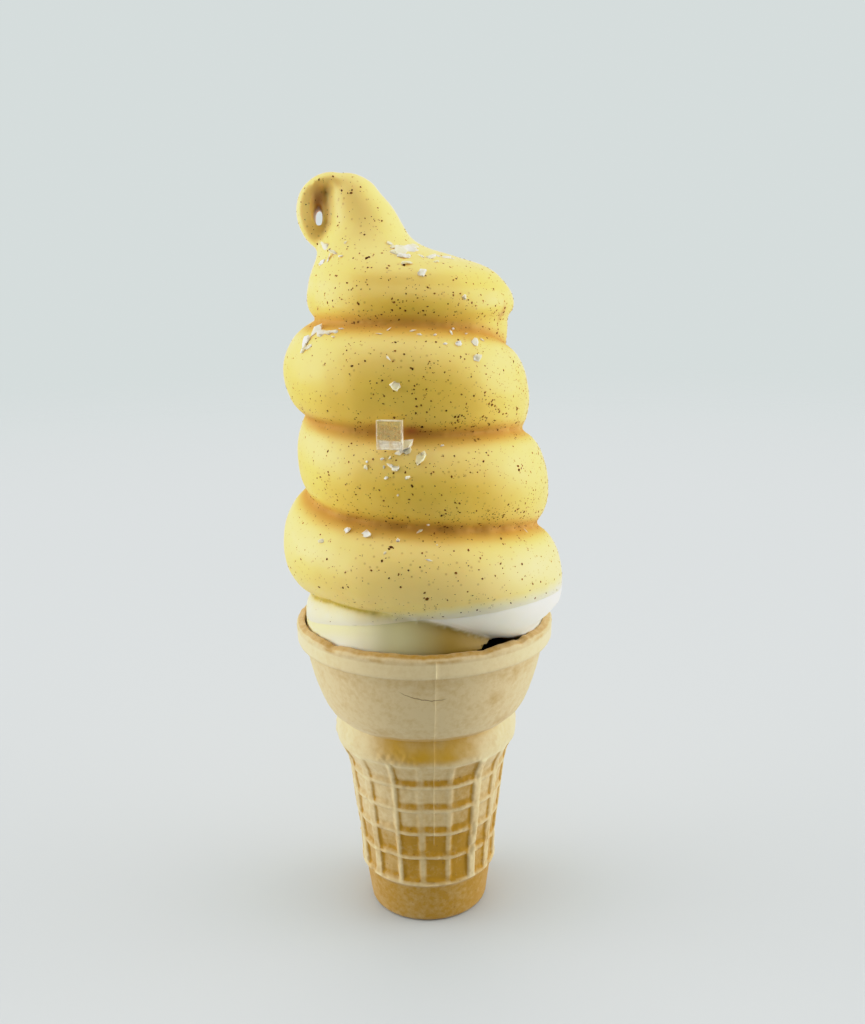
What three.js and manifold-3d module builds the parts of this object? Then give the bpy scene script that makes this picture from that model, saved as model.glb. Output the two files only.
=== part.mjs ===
// A dipped soft serve cone: a flat-bottomed wafer cup with a waffle foot, a rope of vanilla soft serve
// wound up out of it, a thin yellow dip coat over the swirl, and one large salt crystal on the coat.
// Units are millimetres, +Z is up. The origin is the centre of the foot's flat bottom, which the cone
// stands on, and -Y is the front.
import * as THREE from "three";
import { mergeVertices } from "three/addons/utils/BufferGeometryUtils.js";
import Module from "manifold-3d";

const wasm = await Module();
wasm.setup();

// ---- Driving dimensions -------------------------------------------------------------------------

// Wafer cup
const RIM_HEIGHT = 84; // top of the lip above the table
const RIM_RADIUS = 34.5; // outside of the lip
const LIP_DEPTH = 5.6; // height of the plain band below the lip
const WALL = 2.3; // baked wafer wall
const BELLY_RADIUS = 32.5; // bowl, just under the lip
const NECK_RADIUS = 24.2; // the narrow place between bowl and collar
const NECK_HEIGHT = 57.4;
const COLLAR_HEIGHT = 52.5; // middle of the rounded collar
const COLLAR_RADIUS = 24.8;
const FOOT_RADIUS = 16.6; // just above the rounded bottom edge
const BAND_RADIUS = 17.9; // plain band round the foot, at its top
const BAND_HEIGHT = 12.4;
const CUP_FLOOR = 54; // the bowl's inside bottom; below it the foot is solid
const CUP_FLOOR_RADIUS = 18;
const CUP_FACETS = 32;
const BELLY_STEPS = 5;

// Waffle grid on the foot
const GRID_COLUMNS = 16;
const GRID_ROWS = 5;
const GRID_RADIUS = 19.3; // over the bars, where they stand on the band
const FLARE_RADIUS = 22.6; // over the bars, where they start to flare into the collar
const FLARE_HEIGHT = 46;
const CELL_DEPTH = 1.4;
const CELL_DRAFT = 0.8; // how far a cell's walls lean out over twice its depth
const BAR_WIDTH = 2.8;
const SEAM_ANGLE = -84.7; // degrees from +X: the mould's seam, at the middle of a column of cells

// Swirl: one rope wound clockwise as it rises, seen from above, so its surface is a thread. The table
// goes down a quarter turn a row, from the left inside the neck, by the front, the right and the back:
// the distance from the axis and the height, over the dip coat, of the rope's crest and of the groove
// below it. The rope is pressed out of true, so it doesn't fall evenly.
const THREAD = [
  { crest: [6.0, 175.5], groove: [14.0, 174.0] },
  { crest: [8.0, 175.0], groove: [15.0, 172.5] },
  { crest: [11.0, 174.5], groove: [16.5, 170.5] },
  { crest: [17.0, 172.0], groove: [20.0, 167.0] },
  { crest: [23.5, 169.0], groove: [26.4, 162.8] }, // left of the top coil
  { crest: [23.0, 168.0], groove: [23.8, 162.3] },
  { crest: [22.6, 164.0], groove: [22.0, 155.0] },
  { crest: [26.5, 158.0], groove: [24.5, 146.5] },
  { crest: [35.3, 150.5], groove: [29.6, 139.0] }, // left of the second coil
  { crest: [32.4, 149.8], groove: [27.2, 137.2] },
  { crest: [28.0, 142.5], groove: [25.4, 134.5] },
  { crest: [31.0, 136.0], groove: [26.5, 126.5] },
  { crest: [32.7, 129.5], groove: [29.2, 118.5] }, // left of the third coil
  { crest: [33.6, 126.2], groove: [29.5, 115.0] },
  { crest: [33.4, 119.0], groove: [29.0, 109.0] },
  { crest: [34.5, 112.5], groove: [29.5, 99.5] },
  { crest: [37.5, 106.0], groove: [31.2, 91.0] }, // left of the fourth coil
  { crest: [37.4, 104.0], groove: [30.8, 92.6] },
  { crest: [37.1, 94.5], groove: [27.0, 81.0] },
  { crest: [33.6, 88.0], groove: [31.0, 76.0] },
  { crest: [31.8, 82.0], groove: [30.2, 71.5] }, // left of the lowest coil, in the bowl
  { crest: [31.8, 83.0], groove: [29.6, 69.5] },
  { crest: [28.8, 70.0], groove: [28.0, 66.0] },
  { crest: [28.0, 66.0], groove: [26.5, 63.0] },
  { crest: [26.2, 62.5], groove: [24.5, 60.0] },
  { crest: [25.0, 60.5], groove: [23.0, 58.5] },
  { crest: [23.0, 58.5], groove: [21.5, 57.0] },
  { crest: [21.0, 57.0], groove: [20.0, 56.0] },
];
const ROWS_PER_TURN = 4;
const THREAD_COLUMNS = 24; // round one turn
const THREAD_STEPS = 6; // from one crest down to the next
const THREAD_ROWS = 32; // from the neck to the rope's first end, deep in the bowl
const GROOVE_SHARPNESS = 0.96; // 1 would let two half-round crests meet at a right angle
const SWIRL_TOP = 175;
const COAT = 1.2; // thickness of the dip coat
const GAP = 0.3; // clearance between touching solids

// Top coil and neck: level ovals that draw in and lean left. side is the half width along X.
const NECK = [
  { x: -1.9, z: 160, side: 20.5, depth: 20 },
  { x: -1.8, z: 164.5, side: 25.5, depth: 24 },
  { x: -2.2, z: 168.5, side: 26, depth: 24.3 },
  { x: -3.2, z: 172.4, side: 24.4, depth: 22.6 },
  { x: -4, z: 174.6, side: 22.9, depth: 21.4 },
  { x: -5.6, z: 176.5, side: 20.5, depth: 19.2 },
  { x: -8.3, z: 178.4, side: 17, depth: 16.2 },
  { x: -11.2, z: 180.4, side: 13.6, depth: 13.2 },
  { x: -12.4, z: 182.8, side: 11, depth: 10.8 },
  { x: -12.7, z: 186.2, side: 9.2, depth: 8.8 },
  { x: -13.8, z: 190.2, side: 7.9, depth: 7.4 },
  { x: -15.2, z: 193.4, side: 6.5, depth: 6.4 },
  { x: -15.8, z: 195.8, side: 5.2, depth: 5.2 },
  { x: -16.8, z: 197.6, side: 3.4, depth: 3.6 },
  { x: -17.4, z: 198.5, side: 1.4, depth: 1.6 },
];
const NECK_SIDES = 18;
const NECK_FILLED = 191; // above this the neck is dip coat all through

// Curl: a strand from the neck's top that turns over to the left and comes back down onto the neck,
// which leaves a hole. side is the half width in the plane of X and Z.
const CURL = [
  { x: -16.5, z: 194.6, side: 3.2, depth: 5.0 },
  { x: -20.6, z: 196.8, side: 2.0, depth: 4.8 },
  { x: -24.4, z: 196.0, side: 1.8, depth: 4.4 },
  { x: -27.2, z: 193.3, side: 1.75, depth: 4.0 },
  { x: -28.2, z: 189.6, side: 1.75, depth: 3.7 },
  { x: -27.6, z: 186.0, side: 1.75, depth: 3.5 },
  { x: -25.4, z: 183.2, side: 2.2, depth: 3.4 },
  { x: -21.5, z: 181.2, side: 2.6, depth: 3.4 },
];
const CURL_SIDES = 10;
const CURL_STEPS = 14;
const WEB = { x: -24, y: 2.9, z: 193, side: 3.8, depth: 1.5, rise: 3.8 }; // closes the hole's top

// Edge of the dip: a plane through this height on the axis, with a slope along X and along Y
const DIP_HEIGHT = 90;
const DIP_SLOPE_X = 0;
const DIP_SLOPE_Y = -0.125;

// Salt crystal: a shallow four-sided pyramid lying on the coat
const CRYSTAL_WIDTH = 6.3;
const CRYSTAL_RISE = 6.9;
const CRYSTAL_TOP = 0.62; // its outer face as a share of its inner one
const CRYSTAL_THICKNESS = 1.9;
const CRYSTAL_ANGLE = -102.3; // degrees from +X
const CRYSTAL_HEIGHT = 138.4;
const CRYSTAL_LEAN = 4; // degrees, how far its face looks up

const BIG = 400; // a cutter's size, larger than the whole cone

// ---- Solids -------------------------------------------------------------------------------------

// A closed three.js geometry as a solid that can be joined and cut.
function solidOf(geometry) {
  const bare = (geometry.index ? geometry.toNonIndexed() : geometry).clone();
  bare.deleteAttribute("normal");
  bare.deleteAttribute("uv");
  const merged = mergeVertices(bare, 1e-4);
  return new wasm.Manifold(
    new wasm.Mesh({
      numProp: 3,
      vertProperties: merged.attributes.position.array,
      triVerts: new Uint32Array(merged.index.array),
    }),
  );
}

function geometryOf(solid) {
  const mesh = solid.getMesh();
  const geometry = new THREE.BufferGeometry();
  geometry.setAttribute("position", new THREE.BufferAttribute(mesh.vertProperties, 3));
  geometry.setIndex(new THREE.BufferAttribute(mesh.triVerts, 1));
  return geometry;
}

const joined = (solids) => solids.reduce((all, next) => all.add(next));
const radians = THREE.MathUtils.degToRad;
const lerp = THREE.MathUtils.lerp;

// A closed surface of points and triangles as a solid.
function closedSolid(points, faces) {
  const geometry = new THREE.BufferGeometry().setFromPoints(points);
  geometry.setIndex(faces);
  return solidOf(geometry);
}

// A closed tube through oval sections. Each section has a middle and two half axes, as vectors.
function ovalLoft(sections, sides) {
  const points = [];
  const faces = [];
  for (const { middle, across, up } of sections)
    for (let i = 0; i < sides; i++) {
      const a = (2 * Math.PI * i) / sides;
      points.push(middle.clone().addScaledVector(across, Math.cos(a)).addScaledVector(up, Math.sin(a)));
    }
  for (let s = 0; s + 1 < sections.length; s++)
    for (let i = 0; i < sides; i++) {
      const a = s * sides + i;
      const b = s * sides + ((i + 1) % sides);
      faces.push(a, b, b + sides, a, b + sides, a + sides);
    }
  const last = (sections.length - 1) * sides;
  for (let i = 1; i + 1 < sides; i++) faces.push(0, i + 1, i, last, last + i, last + i + 1);
  return closedSolid(points, faces);
}

// A turned solid whose flats are centred on the cup's mould seam.
function lathe(profile, facets) {
  const outline = profile.map(([radius, z]) => new THREE.Vector2(radius, z));
  const turned = new THREE.LatheGeometry(outline, facets).rotateX(Math.PI / 2);
  return solidOf(turned.rotateZ(radians(SEAM_ANGLE + 180 / facets)));
}

// ---- Wafer cup ----------------------------------------------------------------------------------

// Outside of the cup from the bottom up, as [radius, height]. grow moves it outwards.
function cupOutside(grow = 0) {
  const lipFoot = RIM_HEIGHT - LIP_DEPTH;
  const belly = []; // a quarter round from the collar's top up to the lip
  for (let i = 0; i <= BELLY_STEPS; i++) {
    const a = (Math.PI / 2) * (i / BELLY_STEPS);
    belly.push([lerp(NECK_RADIUS, BELLY_RADIUS, Math.sin(a)), lerp(lipFoot - 1, NECK_HEIGHT, Math.cos(a))]);
  }
  return [
    [FOOT_RADIUS - 1.3, 0],
    [FOOT_RADIUS - 0.4, 0.5],
    [FOOT_RADIUS, 1.4],
    [BAND_RADIUS, BAND_HEIGHT],
    [GRID_RADIUS - 3, BAND_HEIGHT + 0.2], // from here up to the flare the grid covers it
    [FLARE_RADIUS - 3, FLARE_HEIGHT],
    [COLLAR_RADIUS - 1.2, COLLAR_HEIGHT - 5],
    [COLLAR_RADIUS, COLLAR_HEIGHT - 0.5],
    [COLLAR_RADIUS - 0.4, COLLAR_HEIGHT + 2.4],
    ...belly,
    [RIM_RADIUS - 1.1, lipFoot],
    [RIM_RADIUS - 0.2, lipFoot + 2.4],
    [RIM_RADIUS, RIM_HEIGHT - 1.4],
    [RIM_RADIUS - 0.5, RIM_HEIGHT - 0.3],
  ].map(([radius, z]) => [radius + grow, z]);
}

// Inside of the bowl from the lip down: a quarter round that keeps the wall's thickness. grow moves it
// into the wall.
function cupInside(grow = 0) {
  const start = RIM_HEIGHT - LIP_DEPTH - 1;
  const top = BELLY_RADIUS - WALL;
  const inside = [
    [RIM_RADIUS - WALL + 0.2, RIM_HEIGHT],
    [RIM_RADIUS - WALL - 0.3, RIM_HEIGHT - 2],
  ];
  for (let i = 0; i <= BELLY_STEPS; i++) {
    const a = (Math.PI / 2) * (i / BELLY_STEPS);
    inside.push([lerp(CUP_FLOOR_RADIUS, top, Math.cos(a)), lerp(start, CUP_FLOOR - grow, Math.sin(a))]);
  }
  return inside.map(([radius, z]) => [radius + grow, z]);
}

// The cells of the waffle grid, as blocks that widen outwards. Each lies on one flat of the grid.
function waffleCells() {
  const cells = [];
  const pitch = (FLARE_HEIGHT - BAND_HEIGHT) / GRID_ROWS;
  const halfColumn = Math.PI / GRID_COLUMNS;
  for (let column = 0; column < GRID_COLUMNS; column++)
    for (let row = 0; row < GRID_ROWS; row++) {
      const z = BAND_HEIGHT + (row + 0.5) * pitch;
      const bars = lerp(GRID_RADIUS, FLARE_RADIUS, (row + 0.5) / GRID_ROWS) * Math.cos(halfColumn);
      const wide = 2 * bars * Math.tan(halfColumn) - BAR_WIDTH;
      const tall = pitch - BAR_WIDTH;
      const cell = new THREE.BoxGeometry(1, 1, 1);
      const at = cell.attributes.position;
      for (let i = 0; i < at.count; i++) {
        const outer = at.getX(i) > 0;
        const spread = outer ? CELL_DRAFT : 0; // the walls lean outwards, as a mould needs
        const lean = (at.getZ(i) * pitch * (FLARE_RADIUS - GRID_RADIUS)) / (FLARE_HEIGHT - BAND_HEIGHT);
        const x = bars + lean + (outer ? CELL_DEPTH : -CELL_DEPTH);
        at.setXYZ(i, x, at.getY(i) * (wide + 2 * spread), z + at.getZ(i) * (tall + 2 * spread));
      }
      cell.rotateZ(radians(SEAM_ANGLE + (360 / GRID_COLUMNS) * column));
      cells.push(solidOf(cell));
    }
  return joined(cells);
}

function waferCup() {
  const cup = lathe([[0, 0], ...cupOutside(), ...cupInside(), [0, CUP_FLOOR]], CUP_FACETS);
  const grid = lathe(
    [
      [0, BAND_HEIGHT - 2],
      [BAND_RADIUS - 0.5, BAND_HEIGHT - 0.6],
      [GRID_RADIUS, BAND_HEIGHT + 0.4],
      [FLARE_RADIUS, FLARE_HEIGHT],
      [COLLAR_RADIUS - 2, COLLAR_HEIGHT - 4],
      [0, COLLAR_HEIGHT - 2],
    ],
    GRID_COLUMNS,
  );
  return cup.add(grid.subtract(waffleCells()));
}

// The cup's wall grown by the clearance, which the soft serve is cut back from.
function cupClearance() {
  const lip = [RIM_RADIUS - WALL / 2, RIM_HEIGHT + GAP];
  const outline = [[0, -1], ...cupOutside(GAP), lip, ...cupInside(-GAP), [0, CUP_FLOOR + GAP]];
  return lathe(outline, CUP_FACETS);
}

// ---- Swirl --------------------------------------------------------------------------------------

// A value of the thread's table at a number of turns from its start, on a smooth curve between rows.
function threadValue(line, axis, turn) {
  const last = THREAD.length - 1;
  const at = THREE.MathUtils.clamp(turn * ROWS_PER_TURN, 0, last);
  const k = Math.min(Math.floor(at), last - 1);
  const s = at - k;
  const [a, b, c, d] = [k - 1, k, k + 1, k + 2].map(
    (i) => THREAD[THREE.MathUtils.clamp(i, 0, last)][line][axis],
  );
  const [slope, bend, twist] = [c - a, 2 * a - 5 * b + 4 * c - d, 3 * b - a - 3 * c + d];
  return b + 0.5 * (slope * s + bend * s ** 2 + twist * s ** 3);
}

// A point of the thread's surface: down is 0 at the crest, 0.5 in the groove and 1 at the next crest.
function threadPoint(turn, down, grow) {
  const nearGroove = 1 - Math.abs(down * 2 - 1);
  const crestTurn = down < 0.5 ? turn : turn + 1;
  const fall = (t) => 1 - Math.sqrt(1 - GROOVE_SHARPNESS * t ** 2); // of a half-round rope from its crest
  const roundness = fall(nearGroove) / fall(1);
  const z = lerp(threadValue("crest", 1, crestTurn), threadValue("groove", 1, turn), nearGroove);
  const reach = lerp(threadValue("crest", 0, crestTurn), threadValue("groove", 0, turn), roundness) + grow;
  const angle = Math.PI * (1 + 2 * turn); // from the left, round the front, as the rope goes down
  return new THREE.Vector3(reach * Math.cos(angle), reach * Math.sin(angle), z);
}

// The swirl as one solid: rows of points run along the thread, so the end of a row is the start of the
// row one pitch further down. A fan from the axis closes the first row, the last one, and the step that
// the thread leaves at each.
function swirl(grow) {
  const points = [];
  const faces = [];
  for (let row = 0; row <= THREAD_ROWS; row++)
    for (let column = 0; column <= THREAD_COLUMNS; column++) {
      const turn = Math.floor(row / THREAD_STEPS) + column / THREAD_COLUMNS;
      points.push(threadPoint(turn, (row % THREAD_STEPS) / THREAD_STEPS, grow));
    }
  const at = (row, column) => row * (THREAD_COLUMNS + 1) + column;
  const top = points.push(new THREE.Vector3(0, 0, SWIRL_TOP)) - 1;
  const bottom = points.push(new THREE.Vector3(0, 0, CUP_FLOOR + GAP)) - 1;
  for (let row = 0; row < THREAD_ROWS; row++)
    for (let column = 0; column < THREAD_COLUMNS; column++) {
      const [a, b] = [at(row, column), at(row, column + 1)];
      const [c, d] = [at(row + 1, column + 1), at(row + 1, column)];
      faces.push(a, c, b, a, d, c);
    }
  for (let column = 0; column < THREAD_COLUMNS; column++) {
    faces.push(top, at(0, column), at(0, column + 1));
    faces.push(bottom, at(THREAD_ROWS, column + 1), at(THREAD_ROWS, column));
  }
  for (let row = 0; row < THREAD_STEPS; row++) {
    const low = THREAD_ROWS - row;
    faces.push(top, at(row + 1, 0), at(row, 0));
    faces.push(bottom, at(low - 1, THREAD_COLUMNS), at(low, THREAD_COLUMNS));
  }
  return closedSolid(points, faces);
}

// The top coil and neck, up to a height. grow is added to its outside.
function neck(grow, top) {
  const sections = NECK.filter((station) => station.z <= top).map(({ x, z, side, depth }) => ({
    middle: new THREE.Vector3(x, 0, z),
    across: new THREE.Vector3(side + grow, 0, 0),
    up: new THREE.Vector3(0, depth + grow, 0),
  }));
  return ovalLoft(sections, NECK_SIDES);
}

// The strand of the curl, with a web that closes the upper part of its hole at the back.
function curl() {
  const line = new THREE.CatmullRomCurve3(CURL.map(({ x, z }) => new THREE.Vector3(x, 0, z)));
  const halves = new THREE.CatmullRomCurve3(CURL.map(({ side, depth }) => new THREE.Vector3(side, 0, depth)));
  const sections = [];
  for (let i = 0; i <= CURL_STEPS; i++) {
    const along = line.getTangent(i / CURL_STEPS);
    const half = halves.getPoint(i / CURL_STEPS);
    sections.push({
      middle: line.getPoint(i / CURL_STEPS),
      across: new THREE.Vector3(along.z, 0, -along.x).multiplyScalar(half.x),
      up: new THREE.Vector3(0, half.z, 0),
    });
  }
  const web = new THREE.SphereGeometry(1, 10, 8);
  web.scale(WEB.side, WEB.depth, WEB.rise).translate(WEB.x, WEB.y, WEB.z);
  return ovalLoft(sections, CURL_SIDES).add(solidOf(web));
}

// The half space above the dip's edge.
function aboveDip() {
  const block = new THREE.BoxGeometry(BIG, BIG, BIG);
  const at = block.attributes.position;
  for (let i = 0; i < at.count; i++) {
    const [x, y] = [at.getX(i), at.getY(i)];
    const edge = DIP_HEIGHT + DIP_SLOPE_X * x + DIP_SLOPE_Y * y;
    at.setZ(i, at.getZ(i) > 0 ? BIG : edge);
  }
  return solidOf(block);
}

function softServe() {
  const inset = -COAT - GAP;
  return joined([swirl(inset), neck(inset, NECK_FILLED - 1)]).subtract(cupClearance());
}

function dipCoat() {
  const outside = joined([swirl(0), neck(0, BIG), curl()]);
  const hollow = joined([swirl(-COAT), neck(-COAT, NECK_FILLED)]);
  return outside.intersect(aboveDip()).subtract(hollow).subtract(cupClearance());
}

// ---- Salt crystal -------------------------------------------------------------------------------

function crystalShape() {
  const block = new THREE.BoxGeometry(1, 1, 1);
  const at = block.attributes.position;
  for (let i = 0; i < at.count; i++) {
    const share = at.getX(i) > 0 ? CRYSTAL_TOP : 1;
    const [across, up] = [at.getY(i) * CRYSTAL_WIDTH, at.getZ(i) * CRYSTAL_RISE];
    at.setXYZ(i, at.getX(i) * CRYSTAL_THICKNESS, across * share, up * share);
  }
  return block;
}

// The crystal is moved in along its own direction until it is just clear of the coat.
function saltCrystal(coat) {
  const shape = crystalShape().rotateY(-radians(CRYSTAL_LEAN)).rotateZ(radians(CRYSTAL_ANGLE));
  const out = new THREE.Vector3(Math.cos(radians(CRYSTAL_ANGLE)), Math.sin(radians(CRYSTAL_ANGLE)), 0);
  const placed = (distance) =>
    shape.clone().translate(out.x * distance, out.y * distance, CRYSTAL_HEIGHT);
  let distance = RIM_RADIUS + CRYSTAL_RISE;
  const step = 0.1;
  while (solidOf(placed(distance - GAP)).intersect(coat).volume() < 1e-6) distance -= step;
  return placed(distance);
}

// ---- The object ---------------------------------------------------------------------------------

const finishes = {
  wafer: new THREE.MeshStandardMaterial({ color: 0xdcc08a, roughness: 0.85, metalness: 0 }),
  cream: new THREE.MeshStandardMaterial({ color: 0xf6f2e2, roughness: 0.45, metalness: 0 }),
  dip: new THREE.MeshStandardMaterial({ color: 0xf0d873, roughness: 0.35, metalness: 0 }),
  salt: new THREE.MeshStandardMaterial({ color: 0xf4f1ea, roughness: 0.2, metalness: 0 }),
};

const cone = new THREE.Group();

function addPiece(name, geometry, material) {
  const mesh = new THREE.Mesh(geometry, material);
  mesh.name = name;
  cone.add(mesh);
}

const coat = dipCoat();
addPiece("wafer_cone", geometryOf(waferCup()), finishes.wafer);
addPiece("soft_serve", geometryOf(softServe()), finishes.cream);
addPiece("dip_coat", geometryOf(coat), finishes.dip);
addPiece("salt_crystal", saltCrystal(coat), finishes.salt);

export default cone;
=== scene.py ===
"""Looks of the dipped soft serve cone: wafer cone, soft serve, speckled dip coat and salt flakes.

Lengths are in millimetres until they reach Blender, which works in metres. Z is up and the front is -Y.
An angle is counted from +X, so the left is 180, the front 270 and the right 360 degrees.
"""

import math
from contextlib import contextmanager
from functools import partial
from types import SimpleNamespace

import bpy
import numpy as np
from mathutils import Matrix, Vector, noise
from mathutils.bvhtree import BVHTree


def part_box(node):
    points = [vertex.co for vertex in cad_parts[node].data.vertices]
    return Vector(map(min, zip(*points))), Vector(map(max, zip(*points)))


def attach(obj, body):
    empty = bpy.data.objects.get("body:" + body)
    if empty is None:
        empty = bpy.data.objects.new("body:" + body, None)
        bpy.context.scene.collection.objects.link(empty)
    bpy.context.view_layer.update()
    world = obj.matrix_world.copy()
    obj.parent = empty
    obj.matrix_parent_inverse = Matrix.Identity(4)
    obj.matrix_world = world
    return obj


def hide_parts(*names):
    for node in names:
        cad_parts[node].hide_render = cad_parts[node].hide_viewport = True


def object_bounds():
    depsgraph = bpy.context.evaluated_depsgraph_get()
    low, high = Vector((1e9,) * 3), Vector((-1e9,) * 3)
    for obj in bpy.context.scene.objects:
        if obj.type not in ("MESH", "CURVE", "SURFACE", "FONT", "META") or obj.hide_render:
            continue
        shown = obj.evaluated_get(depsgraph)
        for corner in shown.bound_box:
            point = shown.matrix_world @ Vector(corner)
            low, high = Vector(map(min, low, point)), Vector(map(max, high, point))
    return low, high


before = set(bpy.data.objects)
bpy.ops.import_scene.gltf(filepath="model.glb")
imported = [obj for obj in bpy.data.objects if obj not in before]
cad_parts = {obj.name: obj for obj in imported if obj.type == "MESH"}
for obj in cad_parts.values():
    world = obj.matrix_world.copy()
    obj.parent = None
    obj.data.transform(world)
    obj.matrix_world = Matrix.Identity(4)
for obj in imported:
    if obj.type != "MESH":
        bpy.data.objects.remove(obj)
cad_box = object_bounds()

MM = 0.001
BOX_MARGIN = 0.01  # each piece stays this far inside the CAD model's box
MERGE = 0.01  # points closer than this are one
SHARP = 55  # degrees: where faces meet at more, the edge shows
LEFT, FRONT = 180, 270

# ---------------------------------------------------------------- measures of the swirl

# Each turn of the rope, from inside the neck down into the bowl: crest radius, crest height and groove radius
# at the left, front, right and back, then the height of the groove below it, every 45 degrees from the left.
CREST_RADIUS, CREST_HEIGHT, GROOVE_RADIUS, GROOVE_HEIGHT = range(4)
ROPE = (
    # in the neck
    ((6, 8, 11, 17), (175.5, 175, 174.5, 172), (14, 15, 16.5, 20),
     (174, 173.3, 172.5, 171.6, 170.5, 169, 167, 165)),
    # top coil
    ((23.5, 23, 22.6, 26.5), (169, 168, 164, 158), (25.8, 22.3, 22, 24.5),
     (162.8, 162.7, 162.4, 160, 155, 150.8, 146.5, 143.5)),
    # second coil
    ((34.5, 32.4, 28, 31), (150.5, 149.8, 142.5, 136), (28.8, 25.3, 25.4, 26.5),
     (140, 138.4, 137.3, 136.5, 134, 130.5, 126.5, 122.5)),
    # third coil
    ((31.9, 33.6, 33.4, 34.5), (129.5, 126.2, 119, 112.5), (28.5, 27.6, 29, 29.5),
     (119.2, 116.7, 115, 112.7, 108.8, 104.5, 99.5, 94.8)),
    # widest coil
    ((36.7, 37.3, 37.1, 33.6), (106, 104, 93.6, 88), (28.6, 28.4, 27, 29.5),
     (91.6, 93.9, 92.2, 83.4, 77.8, 76.8, 75.6, 75)),
    # coil in the bowl
    ((31.8, 31.6, 28.8, 28), (86.4, 85.6, 72, 67), (34, 31, 26, 25), (74, 73, 71.5, 69, 66, 64.5, 63, 61.5)),
    # the rope's first end
    ((25.2, 24, 22.5, 21), (62.5, 61, 59.5, 58.5), (23.5, 22, 21, 20),
     (60.5, 59.8, 59.2, 58.6, 58, 57.5, 57, 56.5)),
)
TURNS = 6.0
OVER_BOWL = 4  # the groove over the coil in the bowl is this many turns down
COLUMNS_PER_TURN = 120
STEPS_PER_PITCH = 26
GROOVE_SHARPNESS = 0.98  # 1 would let two half-round ropes meet at a right angle

# Level ovals of the neck: middle across, height, half width and half depth.
NECK = (
    (-1.9, 160.0, 20.5, 20.0), (-1.8, 164.5, 25.5, 24.0), (-2.2, 168.5, 26.0, 24.3),
    (-3.2, 172.4, 24.4, 22.6), (-4.0, 174.6, 22.9, 21.4), (-5.6, 176.5, 20.5, 19.2),
    (-8.3, 178.4, 17.0, 16.2), (-11.2, 180.4, 13.6, 13.2), (-12.4, 182.8, 11.0, 10.8),
    (-12.7, 186.2, 9.2, 8.8), (-13.8, 190.2, 7.9, 7.4), (-15.2, 193.4, 6.5, 6.4), (-15.8, 195.8, 5.2, 5.2),
    (-16.8, 197.6, 3.4, 3.6), (-17.4, 198.5, 1.4, 1.6),
)
# The strand that curls over at the tip and down to the neck: middle across, height, half thickness and
# half depth.
CURL = (
    (-16.5, 194.6, 3.2, 5.0), (-20.6, 196.8, 2.0, 4.8), (-24.4, 196.0, 1.8, 4.4), (-27.2, 193.3, 1.75, 4.0),
    (-28.2, 189.6, 1.75, 3.7), (-27.6, 186.0, 1.75, 3.5), (-25.4, 183.2, 2.2, 3.4),
    (-21.5, 181.2, 2.6, 3.4),
)
PLUG_MIDDLE = (-25.5, 0.0, 189.3)  # fills the loop of the curl, before the eye is pressed through it
PLUG_HALF = (4.3, 4.1, 7.6)
EYE_MIDDLE = (-23.9, 190.4)  # across and up, at the front
# The eye through the curl, from front to back: depth, middle across, height, half width to the left and to
# the right, half height.
EYE = (
    (-9.0, -24.2, 190.6, 2.6, 2.5, 6.3), (-4.6, -24.2, 190.9, 2.4, 2.4, 5.7),
    (-4.0, -24.2, 190.7, 2.0, 2.3, 5.2), (-3.4, -24.2, 190.2, 1.6, 2.1, 4.4),
    (-2.8, -24.2, 189.3, 1.2, 1.6, 3.4), (-2.0, -24.3, 188.3, 1.0, 1.1, 2.4),
    (3.5, -24.5, 187.4, 0.9, 0.9, 2.1), (9.0, -25.0, 187.6, 0.9, 0.9, 2.1),
)

GAP_EDGE, GAP_LEVEL, GAP_LEAN, GAP_DEPTH = -67.5, 83.0, 7.0, 14.0  # the hollow behind the rope's first end
DIP_HEIGHT = 87.9  # of the line that the cone was dipped to, at the axis
DIP_SLOPE = (0.115, -0.155)  # mm up per mm to the right and to the back
COAT = 1.2
COAT_EDGE = 0.06
COAT_RUN = 7.0  # the coat thins out over this height above its edge
SERVE_PEAK = (-22.0, 0.0, 181.0)  # the coat is solid beyond a plane through here
SERVE_PEAK_NORMAL = (-10.0, 0.0, 14.0)
VOXEL = 0.85
SWIRL_LUMPS = ((0.32, 14, 1), (0.12, 5, 2))  # height, size and seed
ROOM = 0.12  # between the serve and the wafer
LIP_LEVEL, LIP_RADIUS = 84.4, 32.2  # of the mouth that the serve comes out of
FREE_LEVEL = 90  # from here up the serve is free of the wafer
CORE_RADIUS = 15  # the hollow doesn't reach the swirl's middle
NECK_LEVELS = (176, 184)  # the coils end and the neck begins
EVEN_LEVELS = (172, 184)  # the coils' lumps fade out between these
# The lobe round the eye, which is smoothed: its middle across and up, half height, and where it ends.
LOBE_MIDDLE, LOBE_HALF, LOBE_END = (-25.2, 190), 9.5, -21
# Reddish-brown spots on the glaze: angle, height, half width in degrees, half height and strength.
RED_SPOTS = ((-94.0, 138.6, 4.5, 1.3, 0.8), (-28.0, 164.5, 2.4, 2.4, 0.5), (-110.0, 139.6, 7.0, 0.9, 0.35))

# ---------------------------------------------------------------- measures of the wafer cone

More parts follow.
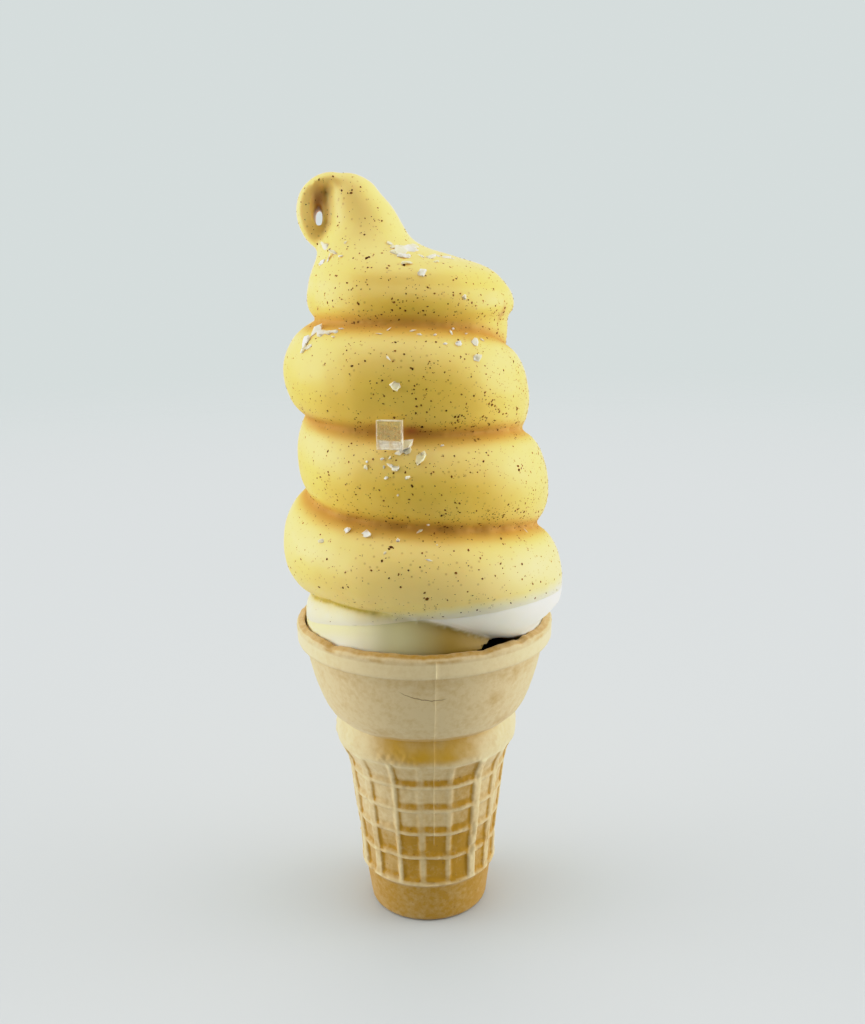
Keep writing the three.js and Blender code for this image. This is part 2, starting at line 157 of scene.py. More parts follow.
# Stretches of its outline, from the foot up to the lip and down the inside: radius and height.
FOOT = (
    (0.0, 0.0), (14.8, 0.0), (15.6, 0.12), (16.1, 0.5), (16.35, 1.1), (16.9, 5.0), (17.8, 11.4), (18.3, 12.0),
)
GRID_SIDE = ((19.0, 12.7), (19.45, 20.8), (20.35, 28.4), (21.15, 35.6), (22.0, 42.8), (22.7, 46.0))
COLLAR = ((23.6, 47.8), (24.5, 49.8), (24.8, 52.2), (24.65, 54.4), (24.2, 56.2), (23.9, 57.4))
BOWL = (
    (24.6, 58.1), (26.3, 59.6), (27.7, 61.9), (28.75, 64.4), (29.6, 66.8), (30.35, 69.2), (30.95, 71.5),
    (31.45, 73.8), (31.95, 76.2), (32.35, 77.9),
)
LIP = (
    (33.3, 78.25), (34.1, 78.6), (34.4, 79.3), (34.45, 81.5), (34.5, 83.3), (34.2, 83.9), (33.6, 84.2),
    (32.9, 84.6), (32.35, 84.6), (32.2, 84.1),
)
INSIDE = (
    (32.1, 80.5), (31.4, 78.6), (30.2, 77.5), (29.6, 73.5), (28.0, 67.5), (25.6, 62.0), (22.6, 57.6),
    (19.0, 54.4), (12.0, 53.8), (0.0, 53.8),
)
CUP_COLUMNS = 360
FINE_STEP, PLAIN_STEP, HIDDEN_STEP = 0.36, 0.62, 1.6

ROW_LINES = (50.2, 42.8, 35.6, 28.4, 20.8, 12.7)  # heights of the raised lines under each row of cells
RAMP = 2.0  # from a raised line up to the cell's floor
STEP = 0.55  # from a raised line down to the next cell's floor
CELL_DEPTH = 0.95
BARS = (  # angle, width, how far it stays below the raised lines
    (179.4, 2.2, 0.2), (200.5, 2.8, 0.2), (223.0, 2.2, 0.35), (246.5, 0.8, 0.2), (265.6, 1.3, 0.5),
    (286.7, 1.0, 0.5), (308.4, 2.0, 0.0), (328.4, 2.2, 0.3), (349.5, 2.8, 0.2), (10.6, 2.2, 0.2),
    (31.7, 2.2, 0.2), (52.8, 2.2, 0.2), (73.9, 2.2, 0.2), (95.0, 2.2, 0.2), (116.1, 2.2, 0.2),
    (137.2, 2.2, 0.2), (158.3, 2.2, 0.2),
)
MIDDLE_CELL = 276  # the angle of the cell that faces the front
CELL_BROWN = (0.12, 0.08, 0.12, 0.7, 0.62)  # of the floors in each row, from the top
SEAM_ANGLE = 275.3
SEAM_LEVELS = (25.5, 83.4)
SEAM_HEIGHT = 0.12
SEAM_HALF_WIDTH = 0.16
SKIN = 0.4  # points this little under the outline are on the outside
KNOB_LEVEL, KNOB_HALF = 52.5, 3.2  # the collar is knobbly here
RIM_RADIUS = 34
RIM_LEVELS = (82.6, 84.0)  # the lip's wave grows between these
RIM_LUMPS = ((0.34, 9, 6), (0.28, 2.6, 7))  # height, size and seed
# Chips of the lip: angle, half width in degrees and depth.
RIM_CHIPS = ((227.0, 2.2, 0.35), (214.0, 2.2, 0.2), (316.5, 2.4, 0.4), (323.0, 1.6, 0.3), (296.0, 1.8, 0.2))
# Brown smudges of the crust: angle, height, half width in degrees, half height and strength.
SMUDGES = (
    (305.0, 69.5, 4.0, 1.3, 0.35), (318.0, 74.0, 3.0, 2.4, 0.3), (262.0, 65.5, 2.2, 0.7, 0.3),
    (232.0, 79.0, 2.0, 0.9, 0.3), (316.0, 61.0, 8.0, 1.6, 0.4), (246.0, 60.5, 9.0, 1.2, 0.2),
)
CRACK_LOWEST, CRACK_RISE = (3.0, 71.3), 0.028  # its lowest point, across and up, and how it curves up
CRACK_MIDDLE, CRACK_HALF = -3.4, (4.2, 6.3)  # its middle from there, and where its half length fades

# ---------------------------------------------------------------- small tools


def hex_colour(text):
    """An sRGB hex value as the linear colour that Blender's sockets take."""
    parts = [int(text[i : i + 2], 16) / 255 for i in (1, 3, 5)]
    return (*(c / 12.92 if c <= 0.04045 else ((c + 0.055) / 1.055) ** 2.4 for c in parts), 1.0)


def add_node(tree, kind, inputs=(), output=0, **settings):
    """Adds a node and returns one of its outputs. Its inputs come in their order or by name, each a value or
    the output that feeds it."""
    new = tree.nodes.new("ShaderNode" + kind)
    for name, value in settings.items():
        setattr(new, name, value)
    for key, value in inputs.items() if isinstance(inputs, dict) else enumerate(inputs):
        if isinstance(value, bpy.types.NodeSocket):
            tree.links.new(value, new.inputs[key])
        else:
            new.inputs[key].default_value = value
    return new.outputs[output] if new.outputs else None


def empty_nodes(owner):
    """Clears the nodes of a material or a world. Returns a call that adds nodes to it."""
    owner.use_nodes = True
    owner.node_tree.nodes.clear()
    return partial(add_node, owner.node_tree)


def only(piece):
    """Leaves just this piece selected and active."""
    bpy.ops.object.select_all(action="DESELECT")
    piece.select_set(True)
    bpy.context.view_layer.objects.active = piece


@contextmanager
def editing(piece, selection=None):
    """Edit mode on this piece alone, with its mesh selected or deselected first where that is asked for."""
    only(piece)
    bpy.ops.object.mode_set(mode="EDIT")
    if selection:
        bpy.ops.mesh.select_all(action=selection)
    yield
    bpy.ops.object.mode_set(mode="OBJECT")


def primitive(kind, name, **settings):
    """Adds a primitive by itself."""
    bpy.ops.object.select_all(action="DESELECT")
    getattr(bpy.ops.mesh, f"primitive_{kind}_add")(**settings)
    bpy.context.object.name = name
    return bpy.context.object


def new_object(name, data):
    made = bpy.data.objects.new(name, data)
    bpy.context.collection.objects.link(made)
    return made


def use_modifier(piece, kind, **settings):
    only(piece)
    modifier = piece.modifiers.new(kind.lower(), kind)
    for name, value in settings.items():
        setattr(modifier, name, value)
    bpy.ops.object.modifier_apply(modifier=modifier.name)


def soften(piece, name, shares, iterations):
    """Smooths the points that a vertex group holds. Each share is a weight and which points have it."""
    group = piece.vertex_groups.new(name=name)
    for weight, members in shares:
        if members.any():
            group.add(np.nonzero(members)[0].tolist(), weight, "REPLACE")
    use_modifier(piece, "SMOOTH", factor=0.5, iterations=iterations, vertex_group=name)


def read_vectors(items, key):
    flat = np.empty(len(items) * 3, dtype=np.float32)
    items.foreach_get(key, flat)
    return flat.reshape(-1, 3).astype(float)


def points_of(piece):
    """A piece's vertices in millimetres."""
    return read_vectors(piece.data.vertices, "co") / MM


def normals_of(piece):
    return read_vectors(piece.data.vertex_normals, "vector")


def move_points(piece, points):
    piece.data.vertices.foreach_set("co", (points * MM).astype(np.float32).ravel())
    piece.data.update()


def inside_box(points, margin=BOX_MARGIN, box=cad_box):
    """Points held inside a box by a margin."""
    low, high = (np.array(corner) / MM for corner in box)
    return np.clip(points, low + margin, high - margin)


def store(piece, name, values):
    """Keeps a number at every vertex, for the material to read."""
    layer = piece.data.attributes.new(name, "FLOAT", "POINT")
    layer.data.foreach_set("value", np.asarray(values, dtype=np.float32))


def lumps(points, size, seed):
    """Smooth noise from -1 to 1 at each point, with lumps of about this size."""
    shift = Vector((seed * 17.3, seed * 5.9, seed * 11.1))
    return np.array([noise.noise(Vector(p) / size + shift) for p in points])


def uneven(points, waves):
    """Lumps of several sizes, added up. Each has a height, a size and a seed."""
    return sum(height * lumps(points, size, seed) for height, size, seed in waves)


def smooth(low, high, values):
    """0 up to low and 1 from high on, with a soft step between."""
    t = np.clip((values - low) / (high - low), 0, 1)
    return t * t * (3 - 2 * t)


def band(rise, fall, values):
    """1 in a band with soft edges: it rises between the first two values and falls between the others."""
    return smooth(*rise, values) * (1 - smooth(*fall, values))


def hump(values, middle, half, power=2):
    """1 at the middle, falling to 0 on both sides. A higher power has a flatter top and steeper sides."""
    return np.exp(-(((values - middle) / half) ** power))


def turn_between(a, b):
    """The signed angle from b to a in degrees, the short way round."""
    return (a - b + 180) % 360 - 180


def spots_at(spots, angle, z):
    """Soft spots round the axis, added up."""
    return sum(
        strength * hump(turn_between(angle, middle), 0, wide) * hump(z, height, tall)
        for middle, height, wide, tall, strength in spots
    )


def ring_points(radius, angle, z):
    """Points round the axis. The angle is in radians."""
    return np.stack([radius * np.cos(angle), radius * np.sin(angle), z], axis=1)


def angles_of(points):
    """The angle of each point round the axis, from -180 to 180 degrees."""
    return np.degrees(np.arctan2(points[:, 1], points[:, 0]))


def along(stations, per_unit, at):
    """Reads a row of stations as one smooth line through all of them."""
    stations = np.asarray(stations, dtype=float)
    last = len(stations) - 1
    place = np.clip(np.asarray(at, dtype=float) * per_unit, 0, last)
    k = np.minimum(place.astype(int), last - 1)
    s = place - k
    a, b, c, d = (stations[np.clip(k + i, 0, last)] for i in (-1, 0, 1, 2))
    return b + 0.5 * ((c - a) * s + (2 * a - 5 * b + 4 * c - d) * s**2 + (3 * b - a - 3 * c + d) * s**3)


def shaped_grid(name, columns, rows, place):
    """A grid primitive laid into a shape: place gives the point for each pair of numbers from 0 to 1."""
    piece = primitive("grid", name, x_subdivisions=columns, y_subdivisions=rows, size=2)
    grid = points_of(piece) * MM
    move_points(piece, place((grid[:, 0] + 1) / 2, (grid[:, 1] + 1) / 2))
    close_up(piece)
    return piece


def close_up(piece):
    """Merges a shape's seam, fills its ends and turns its faces outwards."""
    with editing(piece, "SELECT"):
        bpy.ops.mesh.remove_doubles(threshold=MERGE * MM)
        bpy.ops.mesh.fill_holes(sides=0)
        bpy.ops.mesh.select_all(action="SELECT")
        bpy.ops.mesh.normals_make_consistent(inside=False)


def join(pieces, name):
    only(pieces[0])
    for piece in pieces:
        piece.select_set(True)
    bpy.ops.object.join()
    pieces[0].name = pieces[0].data.name = name
    return pieces[0]


def copy_of(piece, name):
    twin = piece.copy()
    twin.data = piece.data.copy()
    twin.name = twin.data.name = name
    bpy.context.collection.objects.link(twin)
    return twin


def cut(piece, point, normal):
    """Cuts away what lies beyond a plane, on the side that its normal points to, and closes the cut."""
    with editing(piece, "SELECT"):
        bpy.ops.mesh.bisect(
            plane_co=Vector(point) * MM, plane_no=Vector(normal).normalized(), use_fill=True, clear_outer=True
        )


def subtract(piece, other):
    """Takes another shape out of a piece."""
    use_modifier(piece, "BOOLEAN", operation="DIFFERENCE", object=other, solver="MANIFOLD")


def finish_piece(piece, material, slot, *nodes, smooth_faces=True):
    """Gives a piece its material and hides the CAD nodes that it stands for. Its slot is not used."""
    piece.data.materials.clear()
    piece.data.materials.append(material)
    if smooth_faces:
        only(piece)
        bpy.ops.object.shade_smooth_by_angle(angle=math.radians(SHARP))
    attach(piece, "root")
    if nodes:
        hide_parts(*nodes)


# ---------------------------------------------------------------- camera and light

PICTURE_WIDTH, PICTURE_HEIGHT = 865, 1024
FOCAL_LENGTH = 1050  # in points of the picture
SENSOR = 36
CAMERA_PLACE = (2.74, -271.0, 177.7)
CAMERA_DOWN, CAMERA_ROLL = 13.6, 0.95
TABLE_COLOUR, BACKDROP_COLOUR, PANEL_COLOUR = "#CED4D5", "#D6E0DF", "#FFFFFF"
TABLE_RADIUS = 1.6  # in metres, as are the distances over which it fades
TABLE_FADE, TABLE_FADE_AHEAD = (0.45, 1.5), (-0.085, -0.24)
# Soft panels at the sides, behind and above, and none in front: direction, strength and how narrow it is.
PANELS = (((-1, 0, 0), 7.2, 8), ((1, 0, 0), 7.3, 8), ((0, 1, 0), 1.2, 4), ((0, 0, 1), 2.15, 4))
# The brightest tones roll off softly instead of burning out: light and how bright it is shown.
SHOULDER = (
    (0.2, 0.2), (0.4, 0.4), (0.6, 0.6), (0.7, 0.69), (0.85, 0.782), (1.0, 0.839), (1.25, 0.889),
    (1.6, 0.917), (2.0, 0.926),
)
SOFTLY = {"interpolation_type": "SMOOTHSTEP"}


def make_camera():
    """Looks down at the cone by 13.6 degrees from 271 mm in front of it, rolled by just under a degree."""
    data = bpy.data.cameras.new("camera")
    data.sensor_fit = "VERTICAL"
    data.sensor_height = SENSOR
    data.sensor_width = SENSOR * PICTURE_WIDTH / PICTURE_HEIGHT
    data.lens = FOCAL_LENGTH * SENSOR / PICTURE_HEIGHT
    data.clip_start = 0.01
    camera = new_object("camera", data)
    placed = Matrix.Translation(Vector(CAMERA_PLACE) * MM)
    tipped = Matrix.Rotation(math.radians(90 - CAMERA_DOWN), 4, "X")
    camera.matrix_world = placed @ tipped @ Matrix.Rotation(math.radians(-CAMERA_ROLL), 4, "Z")
    bpy.context.scene.camera = camera
    return camera


def make_table():
    """A pale table of matt card: it has no gloss, so only soft shade shows on it. It fades out far away."""
    table = primitive("circle", "table", vertices=96, radius=TABLE_RADIUS, fill_type="NGON")
    card = bpy.data.materials.new("matt_white_paper")
    node = empty_nodes(card)
    coords = node("TexCoord", output="Object")
    reach = node("VectorMath", (coords,), output="Value", operation="LENGTH")
    fade = node("MapRange", (reach, *TABLE_FADE), **SOFTLY)
    # the table is narrow in front, so little light comes up from there
    ahead = node("SeparateXYZ", (coords,), output="Y")
    ahead = node("MapRange", (ahead, *TABLE_FADE_AHEAD), **SOFTLY)
    fade = node("Math", (fade, ahead), operation="MAXIMUM")
    matt = node("BsdfDiffuse", (hex_colour(TABLE_COLOUR),))
    both = node("MixShader", (fade, matt, node("BsdfTransparent")))
    node("OutputMaterial", {"Surface": both})
    table.data.materials.append(card)


def make_light():
    """Soft panels around and above, and a backdrop as pale as the table, which the camera sees beyond it."""
    world = bpy.data.worlds.new("studio")
    bpy.context.scene.world = world
    node = empty_nodes(world)
    toward = node("TexCoord", output="Generated")
    total = 0.0
    for facing, strength, focus in PANELS:
        share = node("VectorMath", (toward, facing), output="Value", operation="DOT_PRODUCT")
        share = node("Math", (share, 0.0), operation="MAXIMUM")
        share = node("Math", (share, focus), operation="POWER")
        total = node("Math", (share, strength, total), operation="MULTIPLY_ADD")
    light = node("Background", (hex_colour(PANEL_COLOUR), total))
    beyond = node("Background", (hex_colour(BACKDROP_COLOUR), 1.0))
    ray = node("LightPath", output="Is Camera Ray")
    node("OutputWorld", {"Surface": node("MixShader", (ray, light, beyond))})

    view = bpy.context.scene.view_settings
    view.view_transform = "Standard"
    view.use_curve_mapping = True
    brightest, shown_brightest = SHOULDER[-1]
    view.curve_mapping.white_level = (brightest,) * 3
    tones = view.curve_mapping.curves[3].points
    tones[0].location, tones[1].location = (0, 0), (1, shown_brightest)
    for bright, shown in SHOULDER[:-1]:
        tones.new(bright / brightest, shown)
    view.curve_mapping.update()


# ---------------------------------------------------------------- swirl


def rope_value(measure, turn):
    """One of the rope's measures, this many turns down it."""
    return along([value for coil in ROPE for value in coil[measure]], len(ROPE[0][measure]), turn)


def turn_at(points):
    """How much of a turn each point is from the left."""
    return (angles_of(points) + LEFT) / 360 % 1


def over_groove(points, turn):
    """How far each point is above the groove that many whole turns down."""
    return points[:, 2] - rope_value(GROOVE_HEIGHT, turn_at(points) + turn)


def rope_points(run, down):
    """The rope's outside: run follows it down from the neck, down crosses it from crest to crest."""
    turn = run * TURNS
    near_groove = 1 - np.abs(down * 2 - 1)
    crest_turn = turn + (down >= 0.5)
    full = 1 - math.sqrt(1 - GROOVE_SHARPNESS)
    fall = (1 - np.sqrt(1 - GROOVE_SHARPNESS * near_groove**2)) / full
    crest_z, groove_z = rope_value(CREST_HEIGHT, crest_turn), rope_value(GROOVE_HEIGHT, turn)
    crest_r, groove_r = rope_value(CREST_RADIUS, crest_turn), rope_value(GROOVE_RADIUS, turn)
    z = crest_z + (groove_z - crest_z) * near_groove
    return ring_points(crest_r + (groove_r - crest_r) * fall, math.pi * (1 + 2 * turn), z)


def stations_at(table, share):
    """Every measure of a table of stations, at this share of the way along it."""
    return [along(row, len(table) - 1, share) for row in np.array(table).T]


def neck_points(around, up):
    x, z, side, depth = stations_at(NECK, up)
    angle = 2 * math.pi * around
    return np.stack([x + side * np.cos(angle), depth * np.sin(angle), z], axis=1)


def curl_points(around, run):
    x, z, side, depth = stations_at(CURL, run)
    before, after = (stations_at(CURL, np.clip(run + step, 0, 1)) for step in (-0.01, 0.01))
    step_x, step_z = after[0] - before[0], after[1] - before[1]
    length = np.hypot(step_x, step_z)
    angle = 2 * math.pi * around
    reach = side * np.cos(angle)
    return np.stack([x + step_z / length * reach, depth * np.sin(angle), z - step_x / length * reach], axis=1)


def eye_points(around, run):
    y, x, z, left, right, tall = stations_at(EYE, run)
    angle = 2 * math.pi * around
    side = np.cos(angle)
    wide = np.where(side > 0, right * np.abs(side) ** 0.6, left * side)
    return np.stack([x + wide, y, z + tall * np.sin(angle)], axis=1)


def above_dip(points):
    """Height in millimetres above the line that the cone was dipped to."""
    return points[:, 2] - (DIP_HEIGHT + points[:, :2] @ np.array(DIP_SLOPE))


def room_in_cup(z):
    """The largest radius that the serve may have at a height, so that it stays off the wafer."""
    radii, heights = zip(*((r - ROOM, h) for r, h in reversed(INSIDE)))
    return np.interp(z, heights[1:] + (LIP_LEVEL,), radii[1:] + (LIP_RADIUS - ROOM,))


def gap_share(points):
    """1 in the hollow behind the rope's first end. Its left edge leans to the right as it rises."""
    angle, z = angles_of(points), points[:, 2]
    edge = GAP_EDGE + (z - GAP_LEVEL) * np.where(z > GAP_LEVEL, GAP_LEAN, 1.0)
    share = smooth(0, 8, angle - edge) * (1 - smooth(-40, -30, angle)) * smooth(62, 68, z)
    return share * (1 - smooth(-1.2, 0.8, over_groove(points, OVER_BOWL)))


def make_swirl():
    """Rope, neck and curl, melted into one skin, with the eye pressed through the curl."""
    rope = shaped_grid("rope", int(TURNS * COLUMNS_PER_TURN), STEPS_PER_PITCH, rope_points)
    neck = shaped_grid("neck", 96, 90, neck_points)
    curl = shaped_grid("curl", 40, 90, curl_points)
    plug = primitive("uv_sphere", "plug", segments=32, ring_count=16, radius=MM, scale=PLUG_HALF,
                     location=Vector(PLUG_MIDDLE) * MM)
    bpy.ops.object.transform_apply(location=True, rotation=True, scale=True)
    swirl = join([rope, neck, curl, plug], "swirl")
    use_modifier(swirl, "REMESH", mode="VOXEL", voxel_size=VOXEL * MM, adaptivity=0.0)

    # soft filled grooves under the coat, crisp ones where the serve is bare
    points = points_of(swirl)
    coated = smooth(-1.0, 3.0, above_dip(points)) * (1 - smooth(*NECK_LEVELS, points[:, 2]) * 0.75)
    tenths = np.round(coated * 10)
    soften(swirl, "coated", [(0.3 + 0.07 * tenth, tenths == tenth) for tenth in range(11)], 3)

    # no coil is quite even
    points = points_of(swirl)
    body = 1 - smooth(*EVEN_LEVELS, points[:, 2])
    swell = uneven(points, SWIRL_LUMPS) * (0.35 + 0.65 * body) - 0.1
    points += normals_of(swirl) * swell[:, None]

    # the rope's end in the bowl draws back from the wafer at the front right
    hollow = gap_share(points)
    radius = np.hypot(points[:, 0], points[:, 1])
    new_radius = radius - GAP_DEPTH * hollow * (radius > CORE_RADIUS)
    room = room_in_cup(points[:, 2]) + 4 * smooth(LIP_LEVEL, FREE_LEVEL, points[:, 2])
    new_radius = np.where(points[:, 2] < FREE_LEVEL, np.minimum(new_radius, room), new_radius)
    points[:, :2] *= (new_radius / np.maximum(radius, 1e-6))[:, None]
    move_points(swirl, inside_box(points, 2 * BOX_MARGIN))
    soften(swirl, "hollow", [(1.0, (hollow > 0.005) & (hollow < 0.995))], 4)

    eye = shaped_grid("eye", 48, 40, eye_points)
    subtract(swirl, eye)
    bpy.data.objects.remove(eye)
    x, _, z = points_of(swirl).T
    off_lobe = np.hypot((x - LOBE_MIDDLE[0]) * 1.6, z - LOBE_MIDDLE[1])
    soften(swirl, "lobe", [(1.0, (off_lobe < LOBE_HALF) & (x < LOBE_END))], 5)
    return swirl


def make_serve_and_coat(swirl):
    """Splits the skin at the dip line into the serve and the coat over it."""
    serve = copy_of(swirl, "soft_serve_swirl")
    points = points_of(serve)
    above = above_dip(points)
    depth = (COAT_EDGE + (COAT - COAT_EDGE) * smooth(0.3, COAT_RUN, above)) * (above > -0.5)
    move_points(serve, points - normals_of(serve) * depth[:, None])
    cut(serve, SERVE_PEAK, SERVE_PEAK_NORMAL)

    coat = copy_of(swirl, "dip_coat_shell")
    cut(coat, (0, 0, DIP_HEIGHT), (*DIP_SLOPE, -1))
    subtract(coat, serve)
    bpy.data.objects.remove(swirl)
    return serve, coat


def groove_shade_nearness(points):
    """1 in the groove between two coils, falling to 0 over a few millimetres: where the glaze's shade is
    painted.
    """
    return hump(np.min([np.abs(over_groove(points, turn)) for turn in (1, 2, 3)], axis=0), 0, 2.0)


def crease_shade_nearness(points):
    """1 where the widest coil's underside meets the coil in the bowl, on the left and the front of it: where
    shade is painted.
    """
    angle = angles_of(points)
    return (1 - smooth(-125, -88, angle)) * (angle < 0) * hump(over_groove(points, OVER_BOWL), -0.3, 0.8)


def lit_upper_side(points):
    """Where light from above is painted: 1 on the upper side of each coil, falling to 0 below its middle. The
    lowest dipped coil is painted pale all over."""
    turn0 = turn_at(points)
    share = np.zeros(len(points))
    for coil in range(1, 5):
        below_top, above_foot = -over_groove(points, coil - 1), over_groove(points, coil)
        down = below_top / (below_top + above_foot)
        lowest = smooth(3.85, 4.25, turn0 + coil)
        most = 0.55 + 0.3 * smooth(1.7, 2.0, turn0 + coil) + 0.15 * lowest
        lower = 0.55 + 0.2 * lowest
        upper = 0.6 * lowest + (most - 0.6 * lowest) * (1 - smooth(lower - 0.4, lower, down))
        # painted light towards the right as well
        upper = np.maximum(upper, 0.5 * smooth(12, 31, points[:, 0]))
        share = np.where((down >= 0) & (down < 1), upper * smooth(0.02, 0.16, down), share)
    return share


def mark_coat(coat):
    """Keeps what the glaze's material reads."""
    points = points_of(coat)
    x, y, z = points.T
    in_eye = smooth(6.6, 4.6, np.hypot((x - EYE_MIDDLE[0]) * 2.3, z - EYE_MIDDLE[1])) * (y < 3.5)
    lit_left_of_eye = in_eye * smooth(-23.6, -25.2, x)
    # painted shade, reddish brown, high in the eye
    painted_eye_shade = 0.75 * hump(x, EYE_MIDDLE[0], 1.6) * hump(z, 192.0, 2.8) * in_eye
    above = above_dip(points)
    # below the crease the glaze only wetted the coil in the bowl
    wetted = smooth(0.3, -0.9, over_groove(points, OVER_BOWL))
    # painted shade in the grooves between the coils and faintly in the right of the eye
    store(coat, "groove", np.maximum(groove_shade_nearness(points), 0.1 * (in_eye - lit_left_of_eye)))
    # painted light on the coils' upper sides and in the left of the eye
    store(coat, "pale", np.maximum(lit_upper_side(points), 0.8 * lit_left_of_eye))
    # painted shade along the crease over the coil in the bowl
    store(coat, "crease_shade", crease_shade_nearness(points))
    store(coat, "eye_shade_and_red_spots", painted_eye_shade + spots_at(RED_SPOTS, angles_of(points), z))
    store(coat, "above_edge", above + (np.minimum(above, 0.9) - above) * wetted)


def mark_serve(serve):
    """Keeps what the serve's material reads, painted shade among it."""
    points = points_of(serve)
    angle = angles_of(points)
    first_end = (1 - smooth(-0.6, 0.6, over_groove(points, OVER_BOWL))) * (1 - smooth(-20, 0, angle))
    deep = 1 - smooth(24, 28.5, np.hypot(points[:, 0], points[:, 1]))
    store(serve, "above_edge", above_dip(points))
    store(serve, "crease_shade", crease_shade_nearness(points))
    store(serve, "olive_shade", smooth(-132, -100, angle) * first_end)
    store(serve, "amber_shade", smooth(-102, -76, angle) * first_end)
    store(serve, "shaded", deep * (np.abs(angle + 38) < 32) * first_end)


# ---------------------------------------------------------------- wafer cone


def step_line(corners, step):
    """Points along a line of corners, about one step apart, without its last corner."""
    points = []
    for (r0, z0), (r1, z1) in zip(corners, corners[1:]):
        count = max(1, round(math.hypot(r1 - r0, z1 - z0) / step))
        points += [(r0 + (r1 - r0) * i / count, z0 + (z1 - z0) * i / count) for i in range(count)]
    return points


def cup_profile():
    lines = (
        (FOOT + GRID_SIDE[:1], PLAIN_STEP),
        (GRID_SIDE + COLLAR[:1], FINE_STEP),
        (COLLAR + BOWL[:1], FINE_STEP * 1.3),
        (BOWL + LIP[:1], PLAIN_STEP),
        (LIP + INSIDE[:1], FINE_STEP),
        (INSIDE, HIDDEN_STEP),
    )
    return [p for corners, step in lines for p in step_line(corners, step)] + [INSIDE[-1]]


def lathe(name, profile, columns):
    """Spins a profile of radius and height round the axis."""
    mesh = bpy.data.meshes.new(name)
    edges = [(i, i + 1) for i in range(len(profile) - 1)]
    mesh.from_pydata([(r * MM, 0, z * MM) for r, z in profile], edges, [])
    piece = new_object(name, mesh)
    with editing(piece, "SELECT"):
        bpy.ops.mesh.spin(steps=columns, angle=2 * math.pi, center=(0, 0, 0), axis=(0, 0, 1))
    close_up(piece)
    return piece


def waffle_at(angle, z, radius):
    """The waffle at each point: how deep it lies under its envelope, its row, the ramps that the iron browned
    and that get painted shade, and the bars with their shaded and their lit sides, where shade and light are
    painted."""
    depth, ramp, bar, shadow, light = np.zeros((5, len(z)))
    row = np.full(len(z), -1)
    wave = 0.25 * np.sin(np.radians(angle * 3 + 40)) + 0.15 * np.sin(np.radians(angle * 11))
    for count, (top, foot) in enumerate(zip(ROW_LINES, ROW_LINES[1:])):
        up = z - foot - wave
        inside = (up >= 0) & (z - top - wave < 0)
        sunk = np.minimum(smooth(0.0, RAMP, up), 1 - smooth(top - foot - STEP, top - foot - 0.05, up))
        depth = np.where(inside, CELL_DEPTH * sunk, depth)
        ramp = np.where(inside, band((0.2, 1.0), (RAMP, RAMP + 1.0), up), ramp)
        row = np.where(inside, count, row)
    for bar_angle, width, sunk in BARS:
        aside = turn_between(angle, bar_angle) * np.pi / 180 * radius
        there = 1 - smooth(width / 2 - 0.15, width / 2 + 0.75, np.abs(aside))
        bar = np.maximum(bar, there * (1 - sunk / CELL_DEPTH))
        # the bars nearest the middle have no shaded side
        side = np.sign(turn_between(FRONT, bar_angle)) * (abs(turn_between(bar_angle, MIDDLE_CELL)) > 15)
        shadow = np.maximum(shadow, hump(aside * side - width / 2, 0.55, 0.5) * (side != 0))
        light = np.maximum(light, hump(aside * side + width / 2, 0.5, 0.5) * (side != 0))
    # the raised lines run out towards the sides, where the iron hardly bit
    faint = 0.35 * CELL_DEPTH * smooth(20, 26, np.abs(turn_between(angle, MIDDLE_CELL)))
    depth = np.maximum(depth, faint * (row >= 0) * (row < 4))
    depth = np.minimum(depth, CELL_DEPTH * (1 - bar))
    return SimpleNamespace(depth=depth, ramp=ramp, row=row, bar=bar, shadow=shadow, light=light)


def close_on_seam(angle, radius):
    """Moves the two columns of points beside the mould seam close to it, and says which are on the seam."""
    gap = turn_between(angle, SEAM_ANGLE)
    gap = gap - float(gap[np.argmin(np.abs(gap))])
    column = 360 / CUP_COLUMNS
    beside = (np.abs(gap) >= column * 0.5) & (np.abs(gap) < column * 1.5) & (radius > 10)
    spread = np.degrees(SEAM_HALF_WIDTH / np.maximum(radius, 5))
    return np.where(beside, angle - gap + np.sign(gap) * spread, angle), np.abs(gap) < column * 0.5


